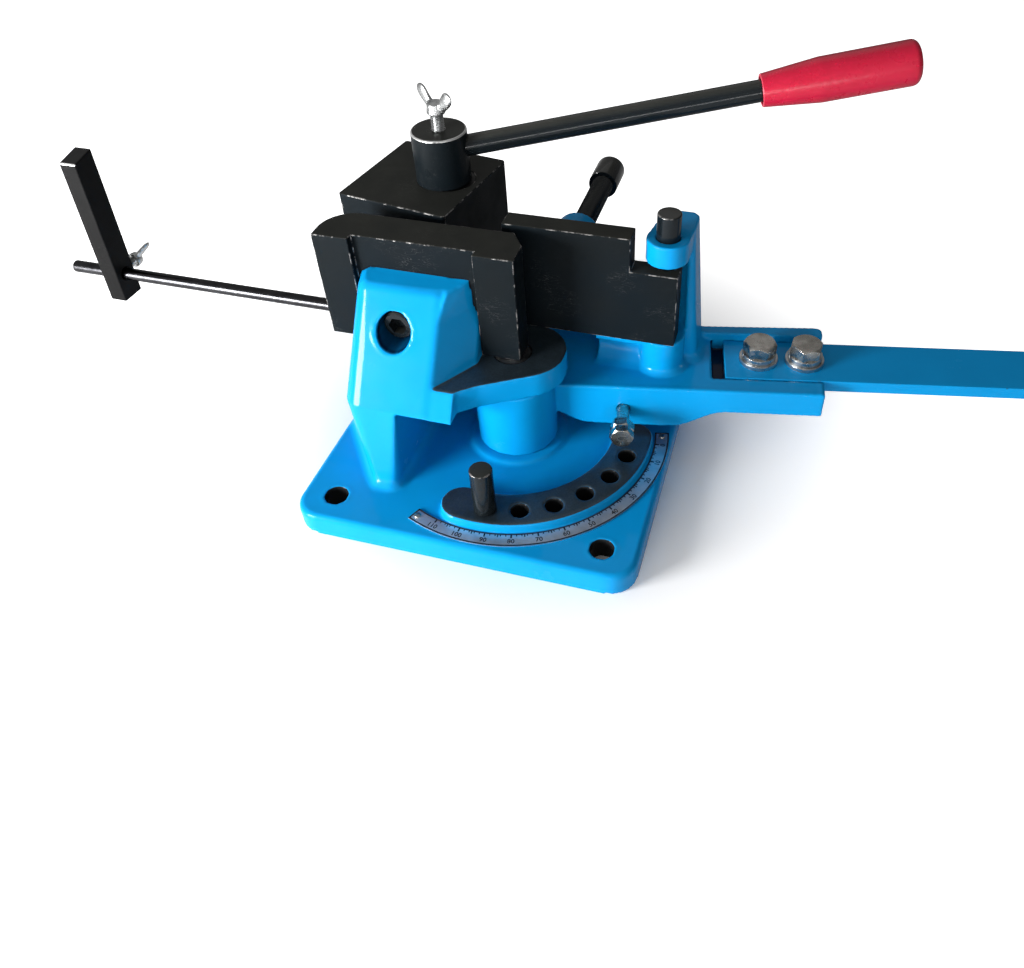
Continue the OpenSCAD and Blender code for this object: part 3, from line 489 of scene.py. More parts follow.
def softened(node: str, width: float, clamp: bool = True) -> Mesh:
    """Copy of a CAD node with its sharp edges rounded and marked.

    Args:
        node: name of the CAD node.
        width: width of the rounding.
        clamp: whether the node's smallest edges limit the width everywhere.
    Returns:
        The mesh.
    """
    mesh = welded(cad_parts[node].data.copy(), flatten=True)
    mesh.materials.clear()
    mesh.materials.append(None)
    mesh.materials.append(None)
    mesh = with_modifier(mesh, "BEVEL", width=width * MM, segments=3, limit_method="ANGLE",
                         angle_limit=BEVEL_LIMIT, material=1, use_clamp_overlap=clamp)
    rounded = read(mesh.polygons, "material_index", 1, np.int32).ravel()
    mark_edges(mesh, rounded, "FACE")
    mesh.polygons.foreach_set("material_index", np.zeros_like(rounded))
    mesh.materials.clear()
    return mesh


def all_free(points: np.ndarray) -> np.ndarray:
    """Returns a full share for every point."""
    return np.ones(len(points))


def same(points: np.ndarray) -> np.ndarray:
    """Returns points as they are."""
    return points


def relaxed(mesh: Mesh, rounds: int, hold: Callable[[np.ndarray], np.ndarray] = all_free) -> Mesh:
    """Rounds the edges of an even mesh, as a foundry's pattern does.

    Each round moves every point a share of the way to the mean of its neighbours and then a little
    more than that share back, so flat faces keep their place and edges become fillets.

    Args:
        mesh: the mesh, which is changed.
        rounds: number of rounds.
        hold: gives for points in millimetres the share of each step that they take.
    Returns:
        The same mesh, whose edge attribute says how far convex edges have sunk.
    """
    start = read(mesh.vertices, "co", 3).astype(np.float64)
    normals = read(mesh.vertices, "normal", 3).astype(np.float64)
    ends = read(mesh.edges, "vertices", 2, np.int32)
    count = np.bincount(ends.ravel(), minlength=len(start))[:, None]
    share = hold(start / MM)[:, None]
    here = start.copy()
    for step in (0.6, -0.63) * rounds:
        total = np.stack([np.bincount(ends[:, 0], here[ends[:, 1], k], len(here)) +
                          np.bincount(ends[:, 1], here[ends[:, 0], k], len(here)) for k in range(3)], axis=1)
        here += step * share * (total / count - here)
    place_points(mesh, here)
    sunk = -((here - start) * normals).sum(axis=1) / MM
    mark_edges(mesh, np.clip(sunk / 0.6, 0, 1))
    return mesh


def hull_mesh(corners: Sequence[Place]) -> Mesh:
    """Returns a mesh of the smallest convex solid round some corners in millimetres."""
    work = bmesh.new()
    for corner in corners:
        work.verts.new(Vector(corner) * MM)
    bmesh.ops.convex_hull(work, input=work.verts[:])
    bmesh.ops.recalc_face_normals(work, faces=work.faces[:])
    mesh = bpy.data.meshes.new("hull")
    work.to_mesh(mesh)
    work.free()
    return mesh


def cast_copy(node: str, voxel: float, rounds: int, hold: Callable[[np.ndarray], np.ndarray] = all_free,
              added: Sequence[Place] = (), trim: Callable[[np.ndarray], np.ndarray] = same) -> Mesh:
    """Copy of a CAD casting with soft cast edges, made on an even mesh whose flat parts are then thinned.

    Args:
        node: name of the CAD node.
        voxel: size of the even mesh's faces.
        rounds: rounds of softening.
        hold: see relaxed.
        added: corners of a convex solid that the casting gains.
        trim: moves points in millimetres before the softening.
    Returns:
        The mesh, inside the node's box.
    """
    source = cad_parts[node].data
    work = bmesh.new()
    work.from_mesh(source)
    if added:
        work.from_mesh(hull_mesh(added))
    mesh = bpy.data.meshes.new(node + "_copy")
    work.to_mesh(mesh)
    work.free()
    mesh = with_modifier(welded(mesh), "REMESH", mode="VOXEL", voxel_size=voxel * MM)
    place_points(mesh, trim(places(mesh.vertices)) * MM)
    mesh = with_modifier(relaxed(mesh, rounds, hold), "DECIMATE", ratio=CAST_KEPT)
    whole = read(source.vertices, "co", 3)
    place_points(mesh, np.clip(read(mesh.vertices, "co", 3), whole.min(axis=0), whole.max(axis=0)))
    return mesh


# Shader sheets

class Sheet:
    """A node tree that is being filled."""

    MIX_FACTOR, MIX_A, MIX_B, MIX_OUT = 0, 6, 7, 2

    def __init__(self, tree: bpy.types.NodeTree) -> None:
        """Keeps the tree."""
        self.tree = tree

    def feed(self, node: Node, inputs: dict[Union[str, int], Any]) -> Node:
        """Links sockets to a node's inputs, or sets values there.

        Args:
            node: the node.
            inputs: what goes to each input, by name or index. A colour may have three numbers.
        Returns:
            The node.
        """
        for name, value in inputs.items():
            socket = node.inputs[name]
            if isinstance(value, Socket):
                self.tree.links.new(value, socket)
            elif socket.type == "RGBA" and len(value) == 3:
                socket.default_value = (*value, 1.0)
            else:
                socket.default_value = value
        return node

    def add(self, kind: str, inputs: Optional[dict[Union[str, int], Any]] = None, **settings: Any) -> Node:
        """Adds a node, sets it and feeds it.

        Args:
            kind: type of the node, without its ShaderNode prefix.
            inputs: see feed.
            settings: properties of the node.
        Returns:
            The node.
        """
        node = self.tree.nodes.new("ShaderNode" + kind)
        for name, value in settings.items():
            setattr(node, name, value)
        return self.feed(node, inputs or {})

    def math(self, operation: str, a: Any, b: Any = 0.0, c: Any = 0.0) -> Socket:
        """Adds a Math node and returns its result."""
        return self.add("Math", {0: a, 1: b, 2: c}, operation=operation).outputs[0]

    def vector(self, operation: str, a: Any, b: Place = (0.0, 0.0, 0.0)) -> Node:
        """Adds a Vector Math node and returns it."""
        return self.add("VectorMath", {0: a, 1: b}, operation=operation)

    def mapped(self, vector: Any, **changes: Place) -> Socket:
        """Adds a Mapping node with the given Rotation or Scale and returns its result."""
        return self.add("Mapping", {"Vector": vector, **changes}).outputs[0]

    def along(self, vector: Any, axis: str) -> Socket:
        """Returns one coordinate of a vector."""
        return self.add("SeparateXYZ", {0: vector}).outputs[axis]

    def mix(self, factor: Any, a: Any, b: Any) -> Socket:
        """Adds a colour mix and returns its result."""
        inputs = {self.MIX_FACTOR: factor, self.MIX_A: a, self.MIX_B: b}
        return self.add("Mix", inputs, data_type="RGBA", clamp_factor=True).outputs[self.MIX_OUT]

    def between(self, value: Any, low: float, high: float, to_low: Any = 0.0, to_high: Any = 1.0) -> Socket:
        """Adds a clamped Map Range and returns its result."""
        inputs = {"Value": value, "From Min": low, "From Max": high, "To Min": to_low, "To Max": to_high}
        return self.add("MapRange", inputs, clamp=True).outputs["Result"]

    def noise(self, vector: Any, scale: Any, detail: float = 3.0, roughness: float = 0.55) -> Socket:
        """Adds a noise and returns its factor."""
        inputs = {"Vector": vector, "Scale": scale, "Detail": detail, "Roughness": roughness}
        return self.add("TexNoise", inputs).outputs[0]

    def place(self) -> Socket:
        """Returns the object coordinates, in metres."""
        return self.add("TexCoord").outputs["Object"]

    def edge(self) -> Socket:
        """Returns the share of rounded edge."""
        return self.add("Attribute", attribute_type="GEOMETRY", attribute_name=EDGE).outputs["Fac"]

    def bump(self, shader: Node, height: Any, strength: float, depth: float) -> None:
        """Roughens a shader's surface.

        Args:
            shader: the shader node.
            height: height of the grain, from 0 to about 1.
            strength: strength of the bump.
            depth: depth of the grain in millimetres.
        """
        node = self.add("Bump", {"Height": height, "Strength": strength, "Distance": depth * MM})
        self.feed(shader, {"Normal": node.outputs[0]})

    def upward(self, low: float, high: float) -> Socket:
        """Returns how far the surface faces up: 0 at the first height of its normal, 1 at the second."""
        return self.between(self.along(self.add("TexCoord").outputs["Normal"], "Z"), low, high)

    def boxed(self, vector: Any, low: Place, high: Place) -> Socket:
        """Mask of a box.

        Args:
            vector: coordinates in metres.
            low: its lowest corner in millimetres.
            high: its highest corner.
        Returns:
            The mask.
        """
        mask: Any = 1.0
        for axis, start, end in zip(self.add("SeparateXYZ", {0: vector}).outputs, low, high):
            mask = self.math("MULTIPLY", mask, self.between(axis, (start - 0.3) * MM, start * MM))
            mask = self.math("MULTIPLY", mask, self.between(axis, (end + 0.3) * MM, end * MM))
        return mask

    def near(self, vector: Any, centre: Span, low: float, high: float) -> Socket:
        """Mask by distance from an upright axis.

        Args:
            vector: coordinates in metres.
            centre: x and y of the axis in millimetres.
            low: distance in millimetres where the mask is 1.
            high: distance where it is 0.
        Returns:
            The mask.
        """
        centred = self.vector("ADD", vector, (-centre[0] * MM, -centre[1] * MM, 0.0)).outputs[0]
        flat = self.vector("MULTIPLY", centred, (1.0, 1.0, 0.0)).outputs[0]
        return self.between(self.vector("LENGTH", flat).outputs["Value"], low * MM, high * MM, 1.0, 0.0)

    def ring(self, vector: Any, centre: Span, radii: Span, soft: Span) -> Socket:
        """Mask between two distances from an upright axis.

        Args:
            vector: coordinates in metres.
            centre: x and y of the axis in millimetres.
            radii: inner and outer distance.
            soft: how far the mask's slope reaches into the ring and out of it.
        Returns:
            The mask.
        """
        outside = self.near(vector, centre, radii[1] - soft[0], radii[1] + soft[1])
        inside = self.near(vector, centre, radii[0] - soft[1], radii[0] + soft[0])
        return self.math("SUBTRACT", outside, inside)


@dataclass(frozen=True)
class Effect:
    """A shader effect that is kept as one node group.

    numbers are the names of its inputs besides the coordinates, and fill adds its nodes to a sheet and
    returns the socket that goes out.
    """
    name: str
    numbers: tuple[str, ...]
    fill: Callable[..., Socket]

    def tree(self) -> bpy.types.NodeTree:
        """Returns the group's tree, made at its first use."""
        known = bpy.data.node_groups.get(self.name)
        if known:
            return known
        tree = bpy.data.node_groups.new(self.name, "ShaderNodeTree")
        tree.interface.new_socket(name="Vector", in_out="INPUT", socket_type="NodeSocketVector")
        for label in self.numbers:
            tree.interface.new_socket(name=label, in_out="INPUT", socket_type="NodeSocketFloat")
        tree.interface.new_socket(name="Value", in_out="OUTPUT", socket_type="NodeSocketFloat")
        source = tree.nodes.new("NodeGroupInput")
        sink = tree.nodes.new("NodeGroupOutput")
        given = [source.outputs[label] for label in ("Vector", *self.numbers)]
        tree.links.new(self.fill(Sheet(tree), *given), sink.inputs[0])
        return tree

    def on(self, sheet: Sheet, vector: Socket, *values: float) -> Socket:
        """Places the effect.

        Args:
            sheet: sheet to place it on.
            vector: coordinates.
            values: what its numbers are.
        Returns:
            Its result.
        """
        node = sheet.add("Group", node_tree=self.tree())
        sheet.feed(node, dict(zip(("Vector", *self.numbers), (vector, *values))))
        return node.outputs[0]


def cloud_nodes(sheet: Sheet, vector: Socket, scale: Socket, low: Socket, high: Socket) -> Socket:
    """Returns cloudy noise between two values, with scale clouds per metre."""
    return sheet.between(sheet.noise(vector, scale, 4.0), 0.3, 0.7, low, high)


def wear_nodes(sheet: Sheet, vector: Socket, scale: Socket, amount: Socket) -> Socket:
    """Returns a mask of the marked edges, broken up by noise, of which an amount is worn."""
    marked = sheet.edge()
    grain = sheet.noise(vector, scale, 5.0, 0.65)
    level = sheet.math("SUBTRACT", 0.86, sheet.math("MULTIPLY", amount, 0.6))
    over = sheet.math("SUBTRACT", sheet.math("MULTIPLY_ADD", marked, 0.25, grain), level)
    return sheet.math("MULTIPLY", sheet.between(over, 0.0, 0.12), sheet.between(marked, 0.25, 0.8))


def scuff_nodes(sheet: Sheet, vector: Socket, scale: Socket, amount: Socket) -> Socket:
    """Returns a mask of fine streaks in scattered patches, with an amount as their strength."""
    spread = sheet.mapped(vector, Rotation=(0.5, 0.35, 0.6), Scale=(1.0, 9.0, 3.0))
    streak = sheet.noise(spread, sheet.math("MULTIPLY", scale, 5.0), 2.0)
    line = sheet.between(sheet.math("ABSOLUTE", sheet.math("SUBTRACT", streak, 0.5)), 0.012, 0.0)
    patch = sheet.between(sheet.noise(vector, scale, 2.0), 0.52, 0.68)
    return sheet.math("MULTIPLY", sheet.math("MULTIPLY", line, patch), amount)


MOTTLE = Effect("mottle", ("Scale", "Low", "High"), cloud_nodes)
EDGE_WEAR = Effect("edge_wear", ("Scale", "Amount"), wear_nodes)
SCUFFS = Effect("scuffs", ("Scale", "Amount"), scuff_nodes)


def blank_material(name: str) -> tuple[bpy.types.Material, Sheet, Node]:
    """Makes a material with one Principled shader.

    Args:
        name: name of the material.
    Returns:
        The material, its sheet and the shader node.
    """
    material = bpy.data.materials.new(name)
    material.use_nodes = True
    sheet = Sheet(material.node_tree)
    material.node_tree.nodes.clear()
    shader = sheet.add("BsdfPrincipled")
    sheet.add("OutputMaterial", {"Surface": shader.outputs[0]})
    return material, sheet, shader


# Finishes

HINGE_AXIS = (7.0, -4.0)
ARM_DIRECTION = 10.5
# Navy painted where shade falls: the arm's pocket gap and the jaw screw's counterbore wall.
PAINTED_SHADE_NAVY = (0.001, 0.012, 0.045)
TURNED_DARK = (0.045, 0.075, 0.10)
TURNED_PALE = (0.11, 0.16, 0.20)
OIL_FILM = (0.016, 0.022, 0.027)
HOLE_WALL = (0.012, 0.013, 0.014)
SCUFF_GREY = (0.09, 0.09, 0.088)


@dataclass(frozen=True)
class BareZones:
    """Machined faces and drilled walls of a painted casting, by height and distance from the hinge axis."""
    axis: Span
    pad_z: float
    pad_radii: Span
    hole_radii: Span
    table_z: float
    bore_r: float
    bolt_at: Span
    bolt_r: float
    screw_at: Span
    screw_r: float

    def machined(self, sheet: Sheet, vector: Socket) -> Socket:
        """Returns a mask of the pad's top and the table's top.

        Args:
            sheet: sheet to add its nodes to.
            vector: object coordinates in metres.
        Returns:
            The mask.
        """
        high = sheet.along(vector, "Z")
        ring = sheet.ring(vector, self.axis, self.pad_radii, (0.15, 0.15))
        levels = [sheet.math("MULTIPLY", sheet.between(high, (z - 0.6) * MM, (z - 0.4) * MM),
                             sheet.between(high, (z + 1.0) * MM, (z + 0.9) * MM))
                  for z in (self.pad_z, self.table_z)]
        both = sheet.math("MAXIMUM", sheet.math("MULTIPLY", ring, levels[0]), levels[1])
        return sheet.math("MULTIPLY", both, sheet.upward(0.72, 0.84))

    def drilled(self, sheet: Sheet, vector: Socket) -> Socket:
        """Returns a mask of the walls of the hinge bore, the stop pin's holes and the bench bolts' holes.

        Args:
            sheet: sheet to add its nodes to.
            vector: object coordinates in metres.
        Returns:
            The mask.
        """
        bore = sheet.near(vector, self.axis, self.bore_r, self.bore_r + 0.3)
        right = sheet.between(sheet.along(vector, "X"), -6 * MM, -4 * MM)
        ring = sheet.math("MULTIPLY", sheet.ring(vector, self.axis, self.hole_radii, (0.0, 0.3)), right)
        mirrored = sheet.vector("ABSOLUTE", vector).outputs[0]
        bolts = sheet.near(mirrored, self.bolt_at, self.bolt_r, self.bolt_r + 0.3)
        walls = sheet.math("MULTIPLY", sheet.math("MAXIMUM", ring, bolts), sheet.upward(0.86, 0.7))
        return sheet.math("MAXIMUM", bore, walls)

    def sunk(self, sheet: Sheet, vector: Socket) -> Socket:
        """Returns a mask of the wall of the jaw screw's counterbore, which lies along Y; the paint there is
        darkened to navy as painted shade.

        Args:
            sheet: sheet to add its nodes to.
            vector: object coordinates in metres.
        Returns:
            The mask.
        """
        tipped = sheet.mapped(vector, Rotation=(math.radians(90), 0.0, 0.0))
        return sheet.near(tipped, (self.screw_at[0], -self.screw_at[1]), self.screw_r, self.screw_r + 0.5)


@dataclass(frozen=True)
class Finish:
    """A finish of the object, with the record's slot that it belongs to."""
    name: str
    slot: Slot

    def material(self) -> bpy.types.Material:
        """Returns the finish's material, made at its first use."""
        known = bpy.data.materials.get(self.name)
        if known:
            return known
        material, sheet, shader = blank_material(self.name)
        self.fill(sheet, shader, sheet.place())
        return material

    def fill(self, sheet: Sheet, shader: Node, place: Socket) -> None:
        """Adds the finish's nodes.

        Args:
            sheet: sheet to add them to.
            shader: the material's shader.
            place: object coordinates in metres.
        """
        raise NotImplementedError


@dataclass(frozen=True)
class Paint(Finish):
    """Thick glossy paint with chipped edges and, if given, bare faces and a narrow gap painted navy as shade.
    """
    light: Colour = (0.002, 0.275, 0.62)
    deep: Colour = (0.0015, 0.245, 0.56)
    chip: Colour = (0.02, 0.10, 0.2)
    gloss: Span = (0.17, 0.28)
    peel: float = 0.05
    wear: float = 0.06
    coat: float = 0.22
    coat_rough: float = 0.045
    shine: float = 0.05
    bare_rough: float = 0.36
    bare_metal: float = 0.75
    bare: Optional[BareZones] = None
    # corners of a box painted navy as shade, in coordinates turned along the arm
    gap: Optional[tuple[Place, Place]] = None

    def fill(self, sheet: Sheet, shader: Node, place: Socket) -> None:
        """Adds the finish's nodes, as Finish.fill says."""
        colour = sheet.mix(MOTTLE.on(sheet, place, 22.0, 0.0, 1.0), self.light, self.deep)
        colour = sheet.mix(EDGE_WEAR.on(sheet, place, 160.0, self.wear), colour, self.chip)
        rough = MOTTLE.on(sheet, place, 60.0, *self.gloss)
        if self.gap:
            # painted shade: the narrow gap in the pocket is coloured navy
            along = sheet.mapped(place, Rotation=(0.0, 0.0, -math.radians(ARM_DIRECTION)))
            colour = sheet.mix(sheet.boxed(along, *self.gap), colour, PAINTED_SHADE_NAVY)
        if self.bare:
            # painted shade: the counterbore's wall is coloured navy
            colour = sheet.mix(self.bare.sunk(sheet, place), colour, PAINTED_SHADE_NAVY)
            mask = self.bare.machined(sheet, place)
            lathe_marks = sheet.noise(sheet.mapped(place, Scale=(1.0, 1.0, 0.2)), 900.0)
            steel = sheet.mix(lathe_marks, TURNED_DARK, TURNED_PALE)
            steel = sheet.mix(MOTTLE.on(sheet, place, 35.0, 0.0, 0.6), steel, OIL_FILM)
            colour = sheet.mix(mask, colour, steel)
            rough = sheet.between(mask, 0.0, 1.0, rough, self.bare_rough)
            colour = sheet.mix(self.bare.drilled(sheet, place), colour, HOLE_WALL)
            sheet.feed(shader, {"Metallic": sheet.math("MULTIPLY", mask, self.bare_metal)})
        sheet.feed(shader, {"Base Color": colour, "Roughness": rough, "Coat Weight": self.coat,
                            "Coat Roughness": self.coat_rough, "Specular IOR Level": self.shine})
        swell = sheet.noise(place, 70.0, 2.0)
        height = sheet.math("MULTIPLY_ADD", swell, 2.2, sheet.noise(place, 330.0, 2.0))
        sheet.bump(shader, height, 0.35, self.peel)


@dataclass(frozen=True)
class BlackSteel(Finish):
    """Blackened steel with a thin oiled skin, scuffs, bright worn edges, and upward faces paler with dust and
    a painted reflection.
    """
    dark: Colour = (0.0045, 0.008, 0.011)
    warm: Colour = (0.0065, 0.0085, 0.0095)
    dust: Colour = (0.033, 0.034, 0.030)
    worn: Colour = (0.32, 0.31, 0.30)
    gloss: Span = (0.40, 0.56)
    wear: float = 0.18
    scuff: float = 0.6
    shine: float = 0.05

    def fill(self, sheet: Sheet, shader: Node, place: Socket) -> None:
        """Adds the finish's nodes, as Finish.fill says."""
        colour = sheet.mix(MOTTLE.on(sheet, place, 18.0, 0.0, 1.0), self.dark, self.warm)
        # upward faces lean to a paler warm tone: settled dust, partly a painted reflection on the tops
        dust_and_reflection_share = sheet.math("MULTIPLY", sheet.upward(0.55, 0.9), MOTTLE.on(sheet, place, 45.0, 0.7, 1.0))
        colour = sheet.mix(dust_and_reflection_share, colour, self.dust)
        colour = sheet.mix(SCUFFS.on(sheet, place, 30.0, self.scuff), colour, SCUFF_GREY)
        worn = EDGE_WEAR.on(sheet, place, 140.0, self.wear)
        colour = sheet.mix(worn, colour, self.worn)
        rough = MOTTLE.on(sheet, place, 75.0, *self.gloss)
        sheet.feed(shader, {"Base Color": colour, "Roughness": rough, "Specular IOR Level": self.shine,
                            "Metallic": sheet.math("MULTIPLY", worn, 0.85)})
        dents = sheet.noise(place, 120.0, 2.0)
        height = sheet.math("MULTIPLY_ADD", dents, 1.4, sheet.noise(place, 1400.0, 2.0))
        sheet.bump(shader, height, 0.3, 0.03)


@dataclass(frozen=True)
class PlatedSteel(Finish):
    """Bare or plated steel, a little cloudy, with tool marks."""
    bright: Colour
    dull: Colour
    gloss: Span
    marks: float = 0.02

    def fill(self, sheet: Sheet, shader: Node, place: Socket) -> None:
        """Adds the finish's nodes, as Finish.fill says."""
        colour = sheet.mix(MOTTLE.on(sheet, place, 160.0, 0.0, 1.0), self.bright, self.dull)
        rough = MOTTLE.on(sheet, place, 240.0, *self.gloss)
        sheet.feed(shader, {"Base Color": colour, "Roughness": rough, "Metallic": 1.0})
        sheet.bump(shader, sheet.noise(place, 700.0), 0.35, self.marks)


@dataclass(frozen=True)
class Plastic(Finish):
    """Moulded plastic with a soft gloss, a faint grain and paler rims, which are a painted highlight on the
    small rounded edges.
    """
    light: Colour
    deep: Colour
    rim: Colour
    gloss: Span = (0.24, 0.34)
    depth: float = 0.08
    reach: Colour = (0.004, 0.001, 0.001)

    def fill(self, sheet: Sheet, shader: Node, place: Socket) -> None:
        """Adds the finish's nodes, as Finish.fill says."""
        colour = sheet.mix(MOTTLE.on(sheet, place, 40.0, 0.0, 1.0), self.light, self.deep)
        # painted highlight: marked rounded edges are mixed towards the paler rim colour
        colour = sheet.mix(sheet.math("MULTIPLY", sheet.edge(), 0.35), colour, self.rim)
        rough = MOTTLE.on(sheet, place, 120.0, *self.gloss)
        sheet.feed(shader, {"Base Color": colour, "Roughness": rough, "Subsurface Weight": self.depth,
                            "Subsurface Radius": self.reach})
        sheet.bump(shader, sheet.noise(place, 900.0, 2.0), 0.15, 0.03)


@dataclass(frozen=True)
class Ink(Finish):
    """Black printing on the scale, a little rubbed."""
    fresh: Colour = (0.006, 0.006, 0.008)
    rubbed: Colour = (0.05, 0.05, 0.055)
    gloss: Span = (0.4, 0.55)

    def fill(self, sheet: Sheet, shader: Node, place: Socket) -> None:
        """Adds the finish's nodes, as Finish.fill says."""
        colour = sheet.mix(MOTTLE.on(sheet, place, 300.0, 0.0, 0.5), self.fresh, self.rubbed)
        sheet.feed(shader, {"Base Color": colour, "Roughness": MOTTLE.on(sheet, place, 300.0, *self.gloss)})


# box of the arm's pocket gap, which is painted navy as shade
POCKET_GAP = ((127.4, 4.3, 49.0), (135.9, 42.9, 57.0))
BARE = BareZones(axis=HINGE_AXIS, pad_z=22.0, pad_radii=(62.6, 86.4), hole_radii=(69.0, 82.0), table_z=80.0,
                 bore_r=11.7, bolt_at=(83.0, 86.0), bolt_r=8.0, screw_at=(-54.0, 105.0), screw_r=10.4)
BRIGHT_WEAR = (0.72, 0.72, 0.71)
AZURE = Paint("azure_paint", Slot.PAINT)
AZURE_ARM = Paint("azure_paint_arm", Slot.PAINT, gap=POCKET_GAP)
AZURE_BASE = Paint("azure_paint_base", Slot.PAINT, bare=BARE)
OXIDE = BlackSteel("black_oxide", Slot.BLACK)
OXIDE_ROUND = BlackSteel("black_oxide_round", Slot.BLACK, gloss=(0.13, 0.2), wear=0.16, scuff=0.25, shine=0.3)
OXIDE_WORN = BlackSteel("black_oxide_worn", Slot.BLACK, worn=BRIGHT_WEAR, gloss=(0.26, 0.4), wear=0.55,
                        scuff=0.4, shine=0.1)
OXIDE_PLAIN = BlackSteel("black_oxide_plain", Slot.BLACK, (0.006, 0.006, 0.0062), (0.0075, 0.0075, 0.0076),
                         (0.022, 0.022, 0.022), BRIGHT_WEAR, wear=0.55, scuff=0.3)
DRAWN = PlatedSteel("drawn_dark_steel", Slot.BLACK, (0.06, 0.06, 0.064), (0.03, 0.03, 0.033), (0.17, 0.26))
WHITE_ZINC = PlatedSteel("white_zinc", Slot.ZINC, (0.60, 0.61, 0.61), (0.38, 0.39, 0.39), (0.22, 0.36))
ZINC = PlatedSteel("zinc_plating", Slot.ZINC, (0.56, 0.545, 0.51), (0.31, 0.30, 0.27), (0.18, 0.34))
STEEL = PlatedSteel("turned_steel", Slot.BRIGHT, (0.50, 0.50, 0.51), (0.34, 0.34, 0.35), (0.28, 0.42))
OILED = PlatedSteel("oiled_steel", Slot.BRIGHT, (0.035, 0.034, 0.033), (0.02, 0.02, 0.02), (0.4, 0.55))
ALUMINIUM = PlatedSteel("scale_aluminium", Slot.SCALE, (0.74, 0.76, 0.80), (0.58, 0.61, 0.66), (0.34, 0.48),
                        marks=0.01)
# the grip's rim colour is a painted highlight on its mouth's rounded edges
CRIMSON = Plastic("crimson_plastic", Slot.GRIP, (0.52, 0.006, 0.038), (0.44, 0.004, 0.028),
                  rim=(0.75, 0.12, 0.17))
SCALE_INK = Ink("scale_ink", Slot.SCALE)


# Pieces

def piece(name: str, mesh: Mesh, finish: Finish, body: Body, *stands_for: str,
          flat_faces: bool = True) -> None:
    """Makes a mesh a piece of the object.

    Args:
        name: name of the piece.
        mesh: its mesh, in place.
        finish: its finish.
        body: body that it moves with.
        stands_for: CAD nodes that it replaces.
        flat_faces: whether large faces keep their own normals next to rounded edges.
    """
    mesh.name = name
    mesh.materials.clear()
    mesh.materials.append(finish.material())
    mesh.polygons.foreach_set("use_smooth", np.ones(len(mesh.polygons), bool))
    mesh.set_sharp_from_angle(angle=SHARP_LIMIT)
    obj = linked(name, mesh)
    if flat_faces:
        weighted = obj.modifiers.new("weighted", "WEIGHTED_NORMAL")
        weighted.keep_sharp = True
    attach(obj, body.value)
    if stands_for:
        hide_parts(*stands_for)
    LOG.info("%s on %s: %d faces", name, body.value, len(mesh.polygons))


def shell_piece(name: str, shell: Shell, finish: Finish, body: Body, *stands_for: str,
                flat_faces: bool = True) -> None:
    """Makes a shell a piece of the object. The arguments are those of piece."""
    piece(name, shell_mesh(name, shell), finish, body, *stands_for, flat_faces=flat_faces)


def wing_screw(wings: str, head: Shell, thread_name: str, thread: Shell, body: Body, node: str) -> None:
    """Makes a wing screw of two pieces, with its collar and wings joined into one cast skin.

    Args:
        wings: name of the head.
        head: its overlapping shells.
        thread_name: name of the thread.
        thread: its shell.
        body: body that both move with.
        node: CAD node that they replace.
    """
    skin = with_modifier(shell_mesh(wings, head), "REMESH", mode="VOXEL", voxel_size=WING_VOXEL * MM)
    piece(wings, relaxed(skin, 4), WHITE_ZINC, body, node, flat_faces=False)
    shell_piece(thread_name, thread, WHITE_ZINC, body, flat_faces=False)


def dress(node: str, finish: Finish) -> None:
    """Gives a CAD node that stays a better material."""
    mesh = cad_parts[node].data
    mesh.materials.clear()
    mesh.materials.append(finish.material())
    LOG.info("%s dressed in %s", node, finish.name)


# Sub-assemblies

